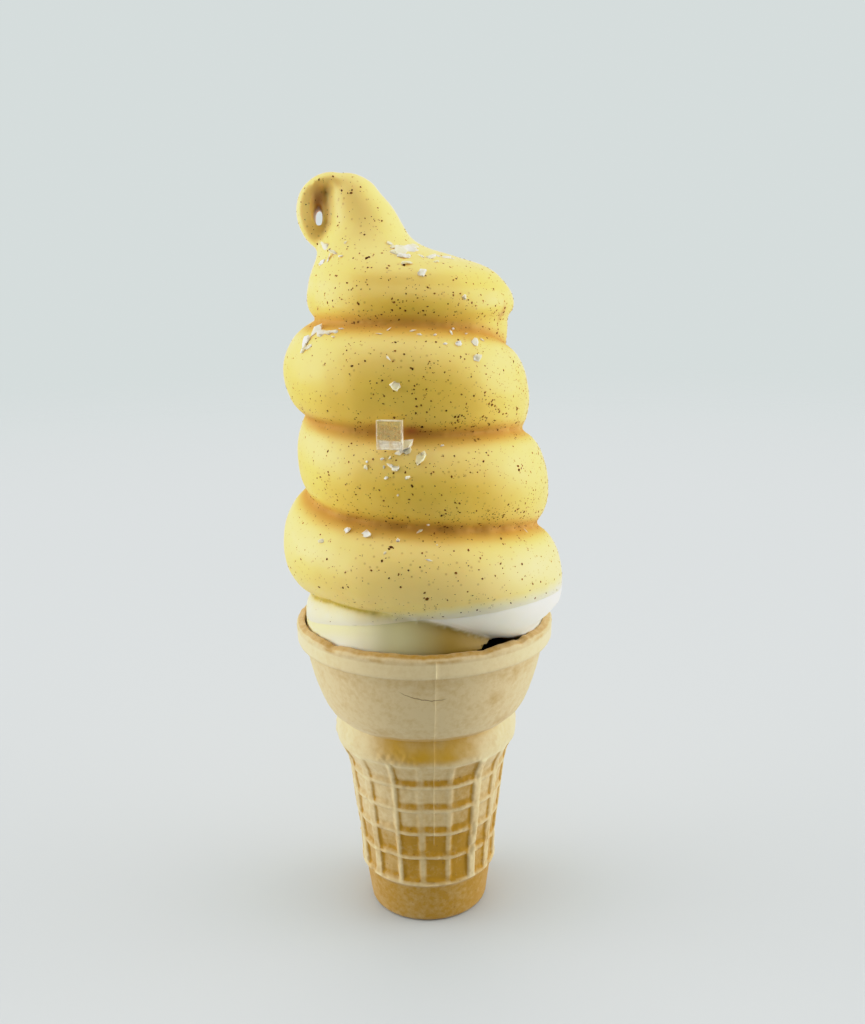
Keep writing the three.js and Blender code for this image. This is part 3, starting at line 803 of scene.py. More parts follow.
def make_cup():
    """Spins the wafer cone, presses the waffle and the seam into it and makes its lip wavy."""
    cup = lathe("wafer_cup", cup_profile(), CUP_COLUMNS)
    points = points_of(cup)
    z = points[:, 2]
    radius = np.hypot(points[:, 0], points[:, 1])
    angle, seam = close_on_seam(angles_of(points) % 360, radius)
    envelope_r, envelope_z = zip(*(FOOT[1:] + GRID_SIDE + COLLAR + BOWL + LIP[:5]))
    outside = radius > np.interp(z, envelope_z, envelope_r) - SKIN
    seam = seam & (z > SEAM_LEVELS[0]) & (z < SEAM_LEVELS[1]) & outside

    cells = waffle_at(angle, z, radius)
    in_grid = outside & (cells.row >= 0)
    cells.depth = np.maximum(cells.depth, 0.5 * smooth(0.0, 0.45, lumps(points, 2.8, 15)) * in_grid)

    grain, patch, broad = (lumps(points, size, seed) for size, seed in ((1.1, 3), (6.5, 4), (18, 5)))
    worn = 0.66 + 0.34 * (1 - smooth(26, 30, z))
    moved = np.where(in_grid, -cells.depth * worn * (1 + 0.35 * patch), 0.0)
    rough = 0.5 + 0.5 * smooth(0.1, 0.7, cells.ramp)
    moved += np.where(in_grid & (z < 46), 0.16 * grain * rough, 0.05 * grain)
    moved += 0.22 * broad * smooth(8, 20, z)
    knobs = hump(z, KNOB_LEVEL, KNOB_HALF) * smooth(-0.1, 0.3, patch)
    moved += knobs * (0.9 * np.abs(lumps(points, 1.7, 14)) - 0.1)
    moved += np.where(seam, SEAM_HEIGHT, 0)
    radius = np.maximum(radius + np.where(radius > 1, moved, 0) * outside, 0)

    # the baked lip is wavy and chipped
    at_rim = smooth(*RIM_LEVELS, z)
    rim = ring_points(RIM_RADIUS, np.radians(angle), np.zeros(len(z)))
    wave = uneven(rim, RIM_LUMPS)
    for chip_angle, chip_width, chip_depth in RIM_CHIPS:
        wave -= chip_depth * hump(turn_between(angle, chip_angle), 0, chip_width, 4)
    z = z + at_rim * (wave - 0.1)
    radius += at_rim * outside * 0.18 * lumps(rim, 1.6, 8)

    points = ring_points(radius, np.radians(angle), z)
    move_points(cup, inside_box(points))
    mark_cup(cup, SimpleNamespace(
        z=z, radius=radius, angle=angle, ahead=turn_between(angle, FRONT), outside=outside, in_grid=in_grid,
        cells=cells, seam=seam, drift=lumps(points, 5.0, 12), rim_patch=lumps(rim, 4.0, 13),
    ))
    return cup


def grid_toast(skin):
    """How brown the waffle is, with shade painted on its ramps and on the bars' shaded sides."""
    ahead, cells = skin.ahead, skin.cells
    bars = np.sort([bar[0] for bar in BARS])
    cell = np.searchsorted(bars, skin.angle) % len(bars)
    baked = np.random.default_rng(9).random((6, len(bars))) ** 2 * 0.5
    brown = np.choose(np.clip(cells.row, 0, 4), CELL_BROWN)
    brown = np.where(np.abs(ahead) > 60, np.maximum(brown * 0.7, baked[cells.row, cell]), brown)
    brown = np.where(np.abs(ahead - 7) > 31, brown * 0.4, brown)
    brown = np.maximum(brown, 0.5 * band((17.5, 20), (36, 38), ahead))
    # painted shade on the ramps, strongest in front, over their browning by the iron
    ramp_brown_and_shade = (0.2 + 0.6 * hump(ahead, 6, 27, 6)) * cells.ramp * (1 - cells.bar)
    shade = 0.7 * cells.shadow * smooth(0.2, 0.6, cells.depth)
    toast_and_shade = 0.14 + smooth(0.5, 0.95, cells.depth / CELL_DEPTH) * brown + ramp_brown_and_shade + shade
    lower = 0.3 * (1 - smooth(22, 32, skin.z)) * (1 - 0.6 * cells.bar)
    return toast_and_shade + lower - 0.25 * cells.bar * smooth(22, 20, skin.z)


def mark_cup(cup, skin):
    """Keeps what the wafer's material reads: how brown, how golden and how pale it is, painted shade and
    light included.
    """
    z, ahead, drift, outside = skin.z, skin.ahead, skin.drift, skin.outside
    toast_and_shade = np.where(skin.in_grid, grid_toast(skin), 0.06)
    foot_band = outside & (z < ROW_LINES[-1] - 0.2)
    toast_and_shade = np.where(foot_band, 0.88 - 0.2 * smooth(11.0, 12.6, z), toast_and_shade)

    # painted shade in the crease under the bowl and on the collar's front, which the iron also browned
    crease_shade = hump(z - 0.4 * drift, 57.7, 1.2) * outside * hump(ahead, 8, 38, 4) * (0.75 + 0.6 * drift)
    collar_gold_and_shade = outside * band((50.0, 53.0), (58.0, 59.5), z) * hump(ahead, -1, 30, 4) * (0.95 + 0.6 * drift)
    toast_and_shade = np.maximum(np.maximum(toast_and_shade, 0.8 * crease_shade), 0.5 * collar_gold_and_shade)
    store(cup, "golden", np.clip(0.85 * np.maximum(collar_gold_and_shade, 0.7 * crease_shade), 0, 1))

    # painted shade under the lip's ledge
    toast_and_shade += 0.1 * outside * smooth(72.0, 77.5, z) * (z < 78.2)
    toast_and_shade += 0.5 * outside * hump(z, 83.1, 0.3) * smooth(-0.15, 0.3, skin.rim_patch)
    toast_and_shade += spots_at(SMUDGES, skin.angle, z) * outside
    # painted shade low on the right, where less light reaches
    toast_and_shade += 0.14 * band((25, 60), (100, 150), ahead) * (z < 49) * outside
    toast_and_shade = np.where(~outside & (z > 60), 0.5, toast_and_shade)
    rim_top = smooth(34.15, 33.6, skin.radius) * smooth(83.0, 83.8, z)
    toast_and_shade = np.maximum(toast_and_shade, (0.5 + 0.3 * hump(ahead, 0, 40)) * rim_top)
    store(cup, "toast_and_shade", np.clip(toast_and_shade, 0, 1))

    near_line = np.min(np.abs(z[:, None] - np.array(ROW_LINES)[None]), axis=1)
    raised = skin.in_grid & (skin.cells.depth < 0.35)
    # the seam and the raised lines are paler in their own colour, the raised lines with painted light as
    # well; painted light on the bars' lit sides
    pale = 0.42 * skin.seam + raised * (np.where(near_line < 0.8, 0.2, 0.06) + 0.22 * skin.cells.light)
    # painted light on the collar's sides, the lip band and the collar's lower hem
    sides = 0.4 * (0.8 + 0.7 * drift) * smooth(24, 46, np.abs(ahead)) * band((46.0, 50.0), (57.0, 61.0), z)
    lip = 0.42 * (z > 78.7) * (z < 82.5)
    lit_hem = 0.4 * hump(z, 49.9, 0.5) * smooth(-0.4, 0.2, drift)
    store(cup, "pale", np.clip(pale + (sides + lip + lit_hem) * outside, 0, 1))


# ---------------------------------------------------------------- specks and salt

SPECK_COUNT = 7200
SPECK_SPREAD, FLAKE_SPREAD = 0.3, 0.42  # how uneven their corners are
# The largest specks: across and down in the camera's picture, and width.
LARGE_SPECKS = (
    (351, 193, 0.7), (352, 190, 0.5), (367, 258, 0.9), (369, 257, 0.6), (387, 268, 0.6), (404, 265, 0.8),
    (347, 283, 0.6), (354, 323, 0.8), (358, 322, 0.6), (505, 308, 0.7), (504, 312, 0.6), (503, 319, 0.7),
    (497, 333, 0.8), (436, 342, 0.6), (352, 366, 0.6), (365, 361, 0.6), (416, 399, 0.6), (422, 427, 0.8),
    (492, 405, 0.8), (495, 406, 0.6), (489, 404, 0.6), (517, 409, 0.8), (455, 417, 0.6), (328, 472, 0.6),
    (329, 475, 0.5), (412, 486, 0.6), (518, 466, 0.7), (519, 470, 0.8), (524, 512, 0.7), (542, 510, 0.7),
    (391, 547, 0.8), (389, 549, 0.6), (382, 561, 0.6), (327, 559, 0.6), (319, 587, 0.7), (348, 587, 0.6),
    (427, 599, 0.8), (424, 598, 0.5), (533, 604, 0.7), (477, 610, 0.5), (522, 564, 0.6), (456, 573, 0.6),
)

# Salt flakes: across and down in the camera's picture, length, width and thickness, and the turn in degrees.
FLAKES = (
    (395.5, 386, 2.0, 1.8, 0.7, 20), (404, 446, 3.4, 2.6, 1.0, 60), (399, 452, 1.8, 1.4, 0.8, 10),
    (408, 451, 1.6, 1.2, 0.7, 40), (420, 458.6, 3.0, 1.8, 0.9, 60), (391, 466, 2.2, 1.0, 0.6, 150),
    (396, 468, 1.6, 1.1, 0.6, 20), (384, 467, 1.3, 0.8, 0.5, 80), (367, 462, 1.0, 0.8, 0.5, 10),
    (366, 468, 1.4, 0.7, 0.3, 85), (386, 478, 1.3, 1.0, 0.6, 30), (407, 478, 2.0, 1.0, 0.6, 20),
    (382, 459, 1.4, 0.8, 0.5, 0), (390, 458, 1.2, 0.8, 0.5, 60), (442, 446, 1.1, 0.9, 0.6, 15),
    (398, 495, 0.9, 0.6, 0.4, 40), (428, 524.6, 1.2, 1.1, 0.7, 10), (420, 531, 2.0, 0.6, 0.4, 55),
    (347, 531, 1.7, 1.3, 0.7, 30), (367, 535, 2.4, 1.4, 0.8, 160), (322, 541, 1.3, 0.9, 0.5, 20),
    (398, 541, 1.0, 0.7, 0.4, 70), (385, 553, 1.1, 0.8, 0.5, 45), (429, 560, 1.6, 0.5, 0.3, 150),
    (437, 545, 0.8, 0.5, 0.3, 20), (526, 531, 1.6, 0.5, 0.3, 120), (477, 358, 1.7, 1.3, 0.7, 20),
    (475, 343, 1.9, 1.2, 0.7, 80), (458, 344, 1.5, 1.1, 0.6, 70), (445, 344, 1.2, 0.9, 0.6, 10),
    (451, 333, 1.8, 0.9, 0.6, 85), (453, 329, 1.0, 0.8, 0.5, 30), (435, 335, 1.2, 0.8, 0.5, 60),
    (420, 335, 1.5, 0.6, 0.3, 0), (412, 331, 2.0, 0.5, 0.3, 5), (388, 358, 1.9, 0.5, 0.3, 140),
    (380, 334, 2.0, 0.5, 0.3, 10), (388, 330, 1.8, 0.5, 0.3, 50), (466, 334, 0.9, 0.6, 0.4, 40),
    (482, 340, 1.0, 0.7, 0.4, 70), (393, 248, 2.6, 1.2, 0.7, 10), (400, 252, 3.2, 2.6, 0.9, 40),
    (404, 256, 2.8, 2.2, 0.9, 70), (409, 250, 3.0, 1.8, 0.8, 20), (413, 247, 2.4, 1.2, 0.6, 15),
    (406, 263, 2.2, 1.3, 0.7, 80), (390, 244, 1.6, 0.8, 0.4, 150), (422, 257, 2.0, 0.7, 0.5, 0),
    (430, 258, 2.4, 1.2, 0.7, 10), (437, 256, 1.8, 0.8, 0.5, 30), (446, 258, 1.8, 0.9, 0.5, 20),
    (452, 259, 1.4, 0.8, 0.5, 10), (422, 273, 1.8, 1.3, 0.7, 25), (326, 247, 4.2, 1.6, 0.5, 150),
    (333, 252, 3.6, 1.2, 0.5, 120), (328, 260, 2.8, 1.0, 0.4, 70), (322, 263, 1.8, 0.9, 0.4, 20),
    (341, 256, 1.4, 0.9, 0.4, 80), (318, 330, 2.6, 1.8, 0.8, 60), (322, 334, 2.4, 1.6, 0.8, 20),
    (329, 333, 2.0, 1.4, 0.7, 45), (336, 332, 3.4, 1.2, 0.6, 15), (342, 329, 1.6, 0.6, 0.4, 20),
    (313, 335, 1.8, 1.0, 0.6, 30), (306, 342, 2.4, 1.8, 0.8, 60), (304, 349, 2.2, 1.4, 0.7, 80),
    (309, 347, 1.4, 0.9, 0.5, 20), (334, 337, 1.4, 0.8, 0.5, 50), (464, 298, 1.2, 0.8, 0.3, 70),
    (436, 262, 1.2, 0.7, 0.4, 60), (345, 243, 1.3, 0.6, 0.3, 20), (457, 343, 1.0, 0.7, 0.5, 45),
)
FLAKE_REACH = 0.29  # in metres: how far off the swirl is, for a flake that lies just past its outline
FLAKE_LEAN = 1.1  # how far they lean off the coat
FLAKE_SHARE = (0.88, 0.88, 0.8)  # of its size that a flake keeps when its edges are broken

CRYSTAL_WIDTH, CRYSTAL_RISE, CRYSTAL_THICKNESS = 6.3, 6.9, 1.9
CRYSTAL_ANGLE, CRYSTAL_LEAN = -102.3, 4.0
CRYSTAL_FOOT, CRYSTAL_FRAME = 2.0, 0.36  # height of its milky foot, width of its milky frame
# The steps of its sunk side: inset and sink.
CRYSTAL_STEPS = ((0.12, 0.0), (0.12, -0.25), (0.75, 0.0), (0.12, -0.2), (0.7, 0.0), (0.1, -0.15))


def surface_of(piece):
    """A search tree of a piece's faces, in metres."""
    return BVHTree.FromObject(piece, bpy.context.evaluated_depsgraph_get())


def through_picture(camera, across, down):
    """The ray from the camera through a point of its picture."""
    data = camera.data
    scale = data.sensor_height / PICTURE_HEIGHT / data.lens
    ray = Vector(((across - PICTURE_WIDTH / 2) * scale, (PICTURE_HEIGHT / 2 - down) * scale, -1))
    return camera.matrix_world.translation, (camera.matrix_world.to_3x3() @ ray).normalized()


def scatter(piece, count, weight, dice):
    """Random points on a piece with their normals, more of them where weight is high."""
    mesh = piece.data
    mesh.calc_loop_triangles()
    corners = np.empty(len(mesh.loop_triangles) * 3, dtype=np.int32)
    mesh.loop_triangles.foreach_get("vertices", corners)
    a, b, c = (points_of(piece)[corners[i::3]] for i in range(3))
    across = np.cross(b - a, c - a)
    area = np.linalg.norm(across, axis=1) / 2
    normal = across / np.maximum(area * 2, 1e-9)[:, None]
    chance = area * weight((a + b + c) / 3, normal)
    picks = dice.choice(len(area), size=count, p=chance / chance.sum())
    s, t = dice.random(count), dice.random(count)
    flip = s + t > 1
    s, t = np.where(flip, 1 - s, s), np.where(flip, 1 - t, t)
    spots = a[picks] + (b - a)[picks] * s[:, None] + (c - a)[picks] * t[:, None]
    return spots, normal[picks]


def copies_on(name, shape, spots, normals, along_it, sizes, dice, spread):
    """One mesh of many copies of a small shape, each with its own size, turn and unevenness."""
    base = points_of(shape)
    faces = [tuple(p.vertices) for p in shape.data.polygons]
    u = along_it - normals * np.sum(along_it * normals, axis=1)[:, None]
    u /= np.linalg.norm(u, axis=1)[:, None]
    count, shift = len(spots), len(base)
    jitter = 1 + spread * (dice.random((count, shift, 3)) - 0.5) * 2
    local = base[None] * jitter * sizes[:, None, :]
    placed = spots[:, None]
    for i, axis in enumerate((u, np.cross(normals, u), normals)):
        placed = placed + local[:, :, i : i + 1] * axis[:, None]
    mesh = bpy.data.meshes.new(name)
    all_faces = [tuple(i + k * shift for i in face) for k in range(count) for face in faces]
    mesh.from_pydata((inside_box(placed).reshape(-1, 3) * MM).tolist(), [], all_faces)
    piece = new_object(name, mesh)
    store(piece, "shade", np.repeat(dice.random(count), shift))
    bpy.data.objects.remove(shape)
    return piece


def speck_weight(middle, normal):
    """More specks lie low on each coil, to the right and in loose clumps, and fewer on the lowest coil."""
    outer = normal[:, 0] * middle[:, 0] + normal[:, 1] * middle[:, 1] > -3
    down = 0.75 - 0.5 * normal[:, 2]
    right = 0.78 + 0.42 * middle[:, 0] / 30
    clumps = 0.45 + 0.9 * np.clip(lumps(middle, 5.5, 0) + 0.25, 0, 1)
    level = 0.35 + 0.65 * smooth(94, 118, middle[:, 2])
    return np.clip(down, 0.12, 1.3) * right * clumps * level * outer * (above_dip(middle) > 0.6)


def grain(name):
    return primitive("ico_sphere", name, subdivisions=1, radius=0.5 * MM)


def make_specks(camera, coat):
    """Fine dark specks all over the coat, and the largest ones where they are."""
    dice = np.random.default_rng(41)
    spots, normals = scatter(coat, SPECK_COUNT, speck_weight, dice)
    width = 0.17 + 0.42 * dice.random(SPECK_COUNT) ** 4
    tree = surface_of(coat)
    for across, down, size in LARGE_SPECKS:
        spot, normal, _, _ = tree.ray_cast(*through_picture(camera, across, down))
        if spot is not None:
            spots = np.vstack([spots, np.array(spot) / MM])
            normals = np.vstack([normals, np.array(normal)])
            width = np.append(width, size)
    sizes = np.stack([width * (1 + 0.6 * dice.random(len(width))), width, width * 0.45], axis=1)
    along_it = dice.normal(size=(len(width), 3))
    sunk = spots - normals * width[:, None] * 0.05
    return copies_on("bean_specks", grain("grain"), sunk, normals, along_it, sizes, dice, SPECK_SPREAD)


def salt_plate():
    """A small salt plate: six-sided, with a sunk top and broken edges."""
    plate = primitive("cylinder", "plate", vertices=6, radius=0.56 * MM, depth=MM)
    for face in plate.data.polygons:
        face.select = abs(face.normal.z) > 0.9
    with editing(plate):
        bpy.ops.mesh.inset(thickness=0.1 * MM, depth=0.12 * MM)
        bpy.ops.mesh.select_all(action="DESELECT")
    for face in plate.data.polygons:
        face.select = face.normal.z > 0.9 and face.center.z > 0.5 * MM
    with editing(plate):
        bpy.ops.mesh.inset(thickness=0.14 * MM, depth=-0.2 * MM)
    return plate


def salt_splinter():
    """A sliver of salt: a box drawn out to a blunt point at each end."""
    sliver = primitive("cube", "sliver", size=MM)
    with editing(sliver):
        bpy.ops.mesh.subdivide(number_cuts=1)
    points = points_of(sliver)
    points[:, 1:] *= 1 - 1.3 * np.abs(points[:, :1])
    move_points(sliver, points)
    return sliver


def make_flakes(camera, coat):
    """Plates, splinters and crumbs of salt, each leaning its own way on the coat."""
    tree = surface_of(coat)
    dice = np.random.default_rng(7)
    kinds = {"plate": [], "splinter": [], "crumb": []}
    for across, down, length, width, thick, turn in FLAKES:
        start, ray = through_picture(camera, across, down)
        spot, normal, _, _ = tree.ray_cast(start, ray)
        if spot is None:
            spot, normal, _, _ = tree.find_nearest(start + ray * FLAKE_REACH)
        kind = "splinter" if length > 2.1 * width else "crumb" if width < 1.7 * thick else "plate"
        along_it = (math.cos(math.radians(turn)), 0, math.sin(math.radians(turn)))
        kinds[kind].append((*(np.array(spot) / MM), *normal, length, width, thick, *along_it))
    made = []
    for kind, shape in (("plate", salt_plate()), ("splinter", salt_splinter()), ("crumb", grain("crumb"))):
        spots, normals, sizes, along_it = np.split(np.array(kinds[kind]), 4, axis=1)
        leaning = normals + (dice.random(normals.shape) - 0.5) * FLAKE_LEAN
        leaning /= np.linalg.norm(leaning, axis=1)[:, None]
        sizes = sizes * np.array(FLAKE_SHARE)
        raised = spots + normals * sizes[:, 2:3] * 0.2
        name = "salt_" + kind
        made.append(copies_on(name, shape, raised, leaning, along_it, sizes, dice, FLAKE_SPREAD))
    return join(made, "salt_flakes")


def make_crystal():
    """One large square salt crystal with stepped, sunk sides, where the CAD has it. Also says which faces are
    milky: its frame and its foot."""
    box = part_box("salt_crystal")
    crystal = primitive("cube", "salt_crystal_square", size=1)
    move_points(crystal, points_of(crystal) * MM * np.array([CRYSTAL_WIDTH, CRYSTAL_THICKNESS, CRYSTAL_RISE]))
    with editing(crystal, "SELECT"):
        bpy.ops.mesh.bevel(offset=0.2 * MM, segments=2)
        bpy.ops.mesh.select_all(action="DESELECT")
    for face in crystal.data.polygons:
        face.select = face.normal.y < -0.95 and face.area > (4 * MM) ** 2
    foot_line = CRYSTAL_FOOT - CRYSTAL_RISE / 2
    with editing(crystal):
        for inset, sink in CRYSTAL_STEPS:
            bpy.ops.mesh.inset(thickness=inset * MM, depth=sink * MM)
        bpy.ops.mesh.select_all(action="SELECT")
        bpy.ops.mesh.bisect(plane_co=(0, 0, foot_line * MM), plane_no=(0.05, 0, 1))
    x, y, z = np.array([face.center[:] for face in crystal.data.polygons]).T / MM
    framed = (np.abs(x) > CRYSTAL_WIDTH / 2 - CRYSTAL_FRAME) | (z > CRYSTAL_RISE / 2 - CRYSTAL_FRAME)
    milky = framed & (y < CRYSTAL_THICKNESS / 2 - 0.3) | (z < foot_line)
    points = points_of(crystal)
    points += 0.06 * np.stack([lumps(points, 1.3, seed) for seed in (21, 22, 23)], axis=1)
    turn = Matrix.Rotation(math.radians(CRYSTAL_ANGLE + 90), 3, "Z")
    turn = turn @ Matrix.Rotation(math.radians(-CRYSTAL_LEAN), 3, "X")
    middle = sum(np.array(corner) / MM for corner in box) / 2
    move_points(crystal, inside_box(points @ np.array(turn).T + middle, box=box))
    return crystal, milky


# ---------------------------------------------------------------- materials

PER_METRE = 1000  # over a pattern's size in millimetres, this is its scale


def start_material(name, *attributes):
    """A new material, the call that adds its nodes, Object coordinates and the attributes that it reads."""
    material = bpy.data.materials.new(name)
    node = empty_nodes(material)
    read = [node("Attribute", output="Fac", attribute_name=attribute) for attribute in attributes]
    return material, node, node("TexCoord", output="Object"), *read


def pattern(coords, size, **settings):
    """The inputs of a texture whose pattern has this size in millimetres."""
    return {"Vector": coords, "Scale": PER_METRE / size, **settings}


def finish_material(material, base, layers, settings):
    """Lays colours over the base, each where its share is high, and gives the shader its settings."""
    node = partial(add_node, material.node_tree)
    colour = hex_colour(base)
    for share, tint in layers:
        colour = node("Mix", {"Factor": share, 6: colour, 7: hex_colour(tint)}, 2, data_type="RGBA")
    node("OutputMaterial", {"Surface": node("BsdfPrincipled", {"Base Color": colour, **settings})})
    return material


def dip_material():
    """Set cocoa butter glaze: dipped and left to drip, so it is smooth and satin, with shade painted into its
    grooves.
    """
    material, node, coords, groove, pale, crease_shade, eye_shade_and_red_spots, above = start_material(
        "set_cocoa_butter_glaze", "groove", "pale", "crease_shade", "eye_shade_and_red_spots", "above_edge"
    )
    cloud = node("TexNoise", pattern(coords, 11, Detail=3.0))
    cloud = node("MapRange", (cloud, 0.35, 0.65))
    height = node("SeparateXYZ", (coords,), output="Z")
    high = node("MapRange", (height, 166 * MM, 180 * MM), **SOFTLY)
    dark = node("Math", (groove, 0.8), operation="MULTIPLY")
    cells = node("TexVoronoi", pattern(coords, 1.9, Randomness=1.0))
    sunk_specks = node("MapRange", (cells, 0.09, 0.2, 0.42, 0.0))
    drift = node("TexNoise", pattern(coords, 7, Detail=2.0))
    drift = node("Math", (drift, 2.4, -1.2), operation="MULTIPLY_ADD")
    above = node("Math", (above, drift), operation="ADD")
    thin = node("MapRange", (above, -0.5, 5.0, 0.8, 0.0), **SOFTLY)
    thinner = node("MapRange", (above, 4.0, 17.0, 0.12, 0.0), **SOFTLY)
    thin = node("Math", (thin, thinner), operation="MAXIMUM")
    skin = node("TexNoise", pattern(coords, 0.7, Detail=3.0))
    layers = (
        (cloud, "#E8C34A"),
        # painted light: paler on the upper side of each coil, in the left of the eye, on the neck and on the
        # tip
        (pale, "#F6D87E"),
        (high, "#FDDB7C"),
        # painted shade, darker in the grooves and faintly in the eye
        (dark, "#BC7F2A"),
        # painted shade high in the eye, and reddish-brown spots on the glaze
        (eye_shade_and_red_spots, "#A3542A"),
        # specks that sank into the glaze show as soft olive spots
        (sunk_specks, "#9A7A2E"),
        # towards its edge the glaze is thin and the white serve shows through
        (thin, "#F3ECCC"),
        # painted shade: olive in the crease over the lowest coil
        (crease_shade, "#B8A01C"),
    )
    return finish_material(material, "#EDCB56", layers, {
        "Normal": node("Bump", {"Height": skin, "Strength": 0.12, "Distance": 0.05 * MM}),
        "Roughness": node("MapRange", (groove, 0.0, 1.0, 0.42, 0.75)),
        "Subsurface Weight": 0.3, "Subsurface Radius": (1.0, 0.6, 0.2), "Subsurface Scale": 1.6 * MM,
        "Specular IOR Level": 0.35, "IOR": 1.46,
    })


def serve_material():
    """Soft serve: whipped dairy ice, fine-grained, so light goes in a little and it looks soft and white."""
    material, node, coords, above, olive_shade, amber_shade, crease_shade, shaded = start_material(
        "whipped_dairy_ice", "above_edge", "olive_shade", "amber_shade", "crease_shade", "shaded"
    )
    cloud = node("TexNoise", pattern(coords, 8, Detail=3.0))
    tint = node("MapRange", (above, -7.0, 0.5, 0.0, 0.7), **SOFTLY)
    across = node("SeparateXYZ", (coords,), output="X")
    left = node("MapRange", (across, 4 * MM, -26 * MM, 0.0, 1.0), **SOFTLY)
    tint = node("Math", (tint, left), operation="MULTIPLY")
    amber_shade = node("Math", (amber_shade, 0.97), operation="MULTIPLY")
    grains = node("TexNoise", pattern(coords, 0.9, Detail=4.0))
    layers = (
        (cloud, "#F1EBD6"),
        (tint, "#F0E07C"),
        # painted shade and painted reflection of the glaze: olive and amber on the coil in the bowl under the
        # widest coil, olive in the crease over it, near black in the hollow
        (olive_shade, "#D2CB98"),
        (amber_shade, "#A4842A"),
        (crease_shade, "#C9B23E"),
        (shaded, "#1E1009"),
    )
    return finish_material(material, "#F4F0E2", layers, {
        "Normal": node("Bump", {"Height": grains, "Strength": 0.15, "Distance": 0.06 * MM}),
        "Subsurface Weight": 0.4, "Subsurface Radius": (1.0, 0.8, 0.6), "Subsurface Scale": 1.6 * MM,
        "Roughness": 0.5, "IOR": 1.35,
    })


def crack_in_bowl(node, coords):
    """1 along a hairline crack across the front of the bowl, which sags and wavers."""
    x, y, z = (node("SeparateXYZ", (coords,), output=axis) for axis in "XYZ")
    waver = node("TexNoise", pattern(coords, 2.2, Detail=3.0))
    aside = node("Math", (x, CRACK_LOWEST[0] * MM), operation="SUBTRACT")
    curve = node("Math", (aside, aside), operation="MULTIPLY")
    level = node("Math", (curve, CRACK_RISE / MM, CRACK_LOWEST[1] * MM), operation="MULTIPLY_ADD")
    level = node("Math", (waver, 1.1 * MM, level), operation="MULTIPLY_ADD")
    off = node("Math", (z, level), operation="SUBTRACT")
    off = node("Math", (off,), operation="ABSOLUTE")
    line = node("MapRange", (off, 0.03 * MM, 0.2 * MM, 0.8, 0.0))
    reach = node("Math", (aside, -CRACK_MIDDLE * MM), operation="ADD")
    reach = node("Math", (reach,), operation="ABSOLUTE")
    reach = node("MapRange", (reach, *(half * MM for half in CRACK_HALF), 1.0, 0.0))
    front = node("Math", (y, 0.0), operation="LESS_THAN")
    crack = node("Math", (line, reach), operation="MULTIPLY")
    return node("Math", (crack, front), operation="MULTIPLY")


def wafer_material():
    """Baked wafer batter: pressed between hot irons, so it is matt and porous, pale where it was thick and
    golden brown where the iron bit. Shade and light are painted into its browns and pales as well."""
    material, node, coords, browned, pale, golden = start_material(
        "baked_wafer_crust", "toast_and_shade", "pale", "golden"
    )
    for size, detail, rough, swing, last in ((7, 4.0, 0.6, 0.6, False), (1.6, 3.0, 0.65, 0.9, True)):
        patches = node("TexNoise", pattern(coords, size, Detail=detail, Roughness=rough))
        patches = node("Math", (patches, swing, -swing / 2), operation="MULTIPLY_ADD")
        browned = node("Math", (browned, patches), operation="ADD", use_clamp=last)
    scorch = node("TexVoronoi", pattern(coords, 2.6))
    scorch = node("MapRange", (scorch, 0.05, 0.13, 0.6, 0.0))
    scorch = node("Math", (scorch, browned), operation="MULTIPLY")
    pores = node("TexNoise", pattern(coords, 0.45, Detail=4.0, Roughness=0.7))
    layers = (
        # brown where the iron bit, with painted shade on the ramps, the bars' shaded sides, the crease under
        # the bowl, under the lip and low on the right
        (browned, "#B28308"),
        (scorch, "#7E4A1C"),
        # pale in its own colour along the seam and the raised lines, with painted light on them, on the bars'
        # lit sides, the collar's sides, the lip band and the collar's hem
        (pale, "#F0DFAE"),
        # under the bowl, in front, an even deep gold: partly browned by the iron, partly painted shade
        (golden, "#C89A1E"),
        (crack_in_bowl(node, coords), "#76501E"),
    )
    return finish_material(material, "#DAC493", layers, {
        "Normal": node("Bump", {"Height": pores, "Strength": 0.35, "Distance": 0.12 * MM}),
        "Roughness": 0.7, "Specular IOR Level": 0.25, "Sheen Weight": 0.2, "Sheen Roughness": 0.5,
    })


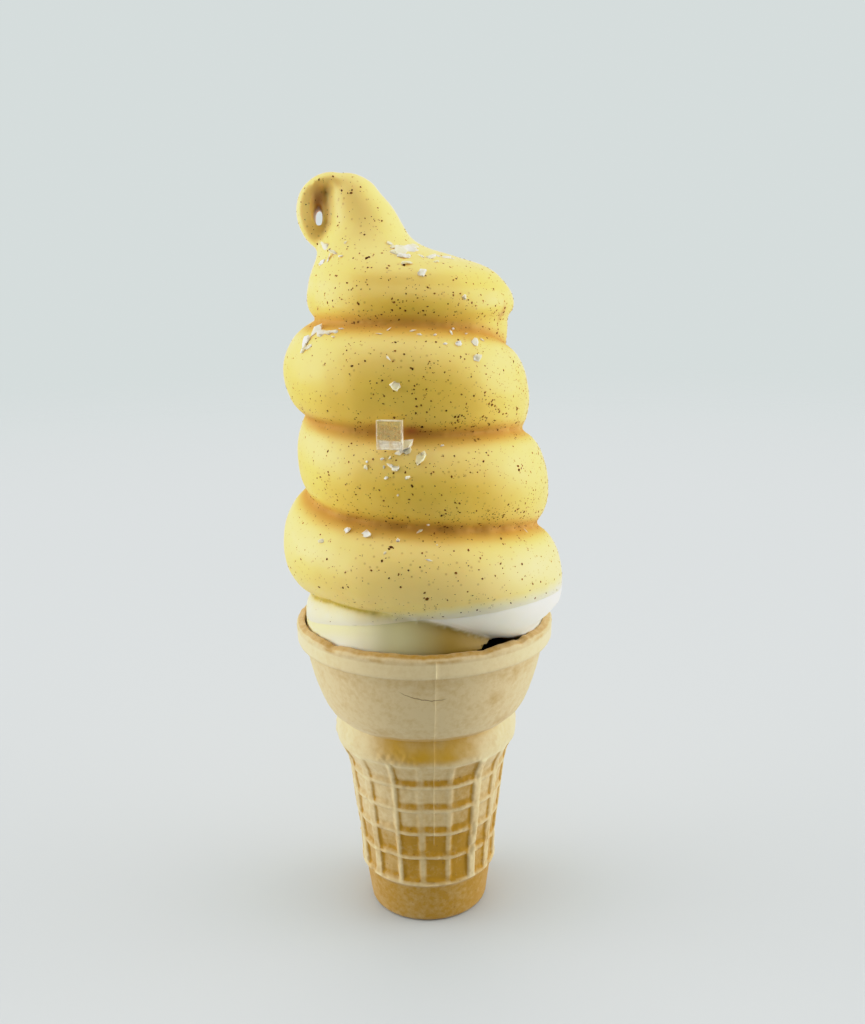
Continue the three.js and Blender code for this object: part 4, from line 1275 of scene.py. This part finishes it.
def speck_material():
    """Ground bean: dry dark grains, matt."""
    material, _, _, shade = start_material("ground_vanilla_bean", "shade")
    layers = ((shade, "#8C581F"),)
    return finish_material(material, "#42220C", layers, {"Roughness": 0.9, "Specular IOR Level": 0.05})


def salt_material():
    """Sea salt flakes: crystal crowded with fine flaws, so light spreads through it and it looks white."""
    material, _, _, shade = start_material("flaky_sea_salt", "shade")
    return finish_material(material, "#FFF9E8", ((shade, "#F6E4AE"),), {
        "Subsurface Weight": 0.9, "Subsurface Radius": (1.0, 1.0, 1.0), "Subsurface Scale": 1.2 * MM,
        "Roughness": 0.3, "IOR": 1.54,
    })


def clear_salt_material():
    """Clear rock salt: one large crystal grown slowly, so the glaze shows through its faint milky veil."""
    material, node, coords = start_material("clear_rock_salt")
    flaws = node("TexNoise", pattern(coords, 1.1, Detail=3.0))
    veil = node("MapRange", (flaws, 0.35, 0.65, 0.22, 0.42))
    return finish_material(material, "#EFE2A4", (), {"Alpha": veil, "Roughness": 0.15, "IOR": 1.54})


def milky_salt_material():
    """Cloudy rock salt: a crystal's edges and foot grow fast and trap brine, so they are only half clear."""
    material, node, coords = start_material("cloudy_rock_salt")
    flaws = node("TexNoise", pattern(coords, 1.5, Detail=3.0))
    veil = node("MapRange", (flaws, 0.38, 0.6, 0.35, 0.85))
    return finish_material(material, "#FBF3DC", (), {"Alpha": veil, "Roughness": 0.25, "IOR": 1.54})


# ---------------------------------------------------------------- building it all

camera = make_camera()
make_table()
make_light()

serve, coat = make_serve_and_coat(make_swirl())
mark_coat(coat)
mark_serve(serve)
cup = make_cup()
finish_piece(serve, serve_material(), "soft_serve", "soft_serve")
finish_piece(coat, dip_material(), "dip", "dip_coat")
finish_piece(cup, wafer_material(), "wafer", "wafer_cone")
finish_piece(make_specks(camera, coat), speck_material(), "dip")
finish_piece(make_flakes(camera, coat), salt_material(), "salt", smooth_faces=False)
crystal, milky = make_crystal()
finish_piece(crystal, clear_salt_material(), "salt", "salt_crystal", smooth_faces=False)
crystal.data.materials.append(milky_salt_material())
crystal.data.polygons.foreach_set("material_index", milky.astype(np.int32))
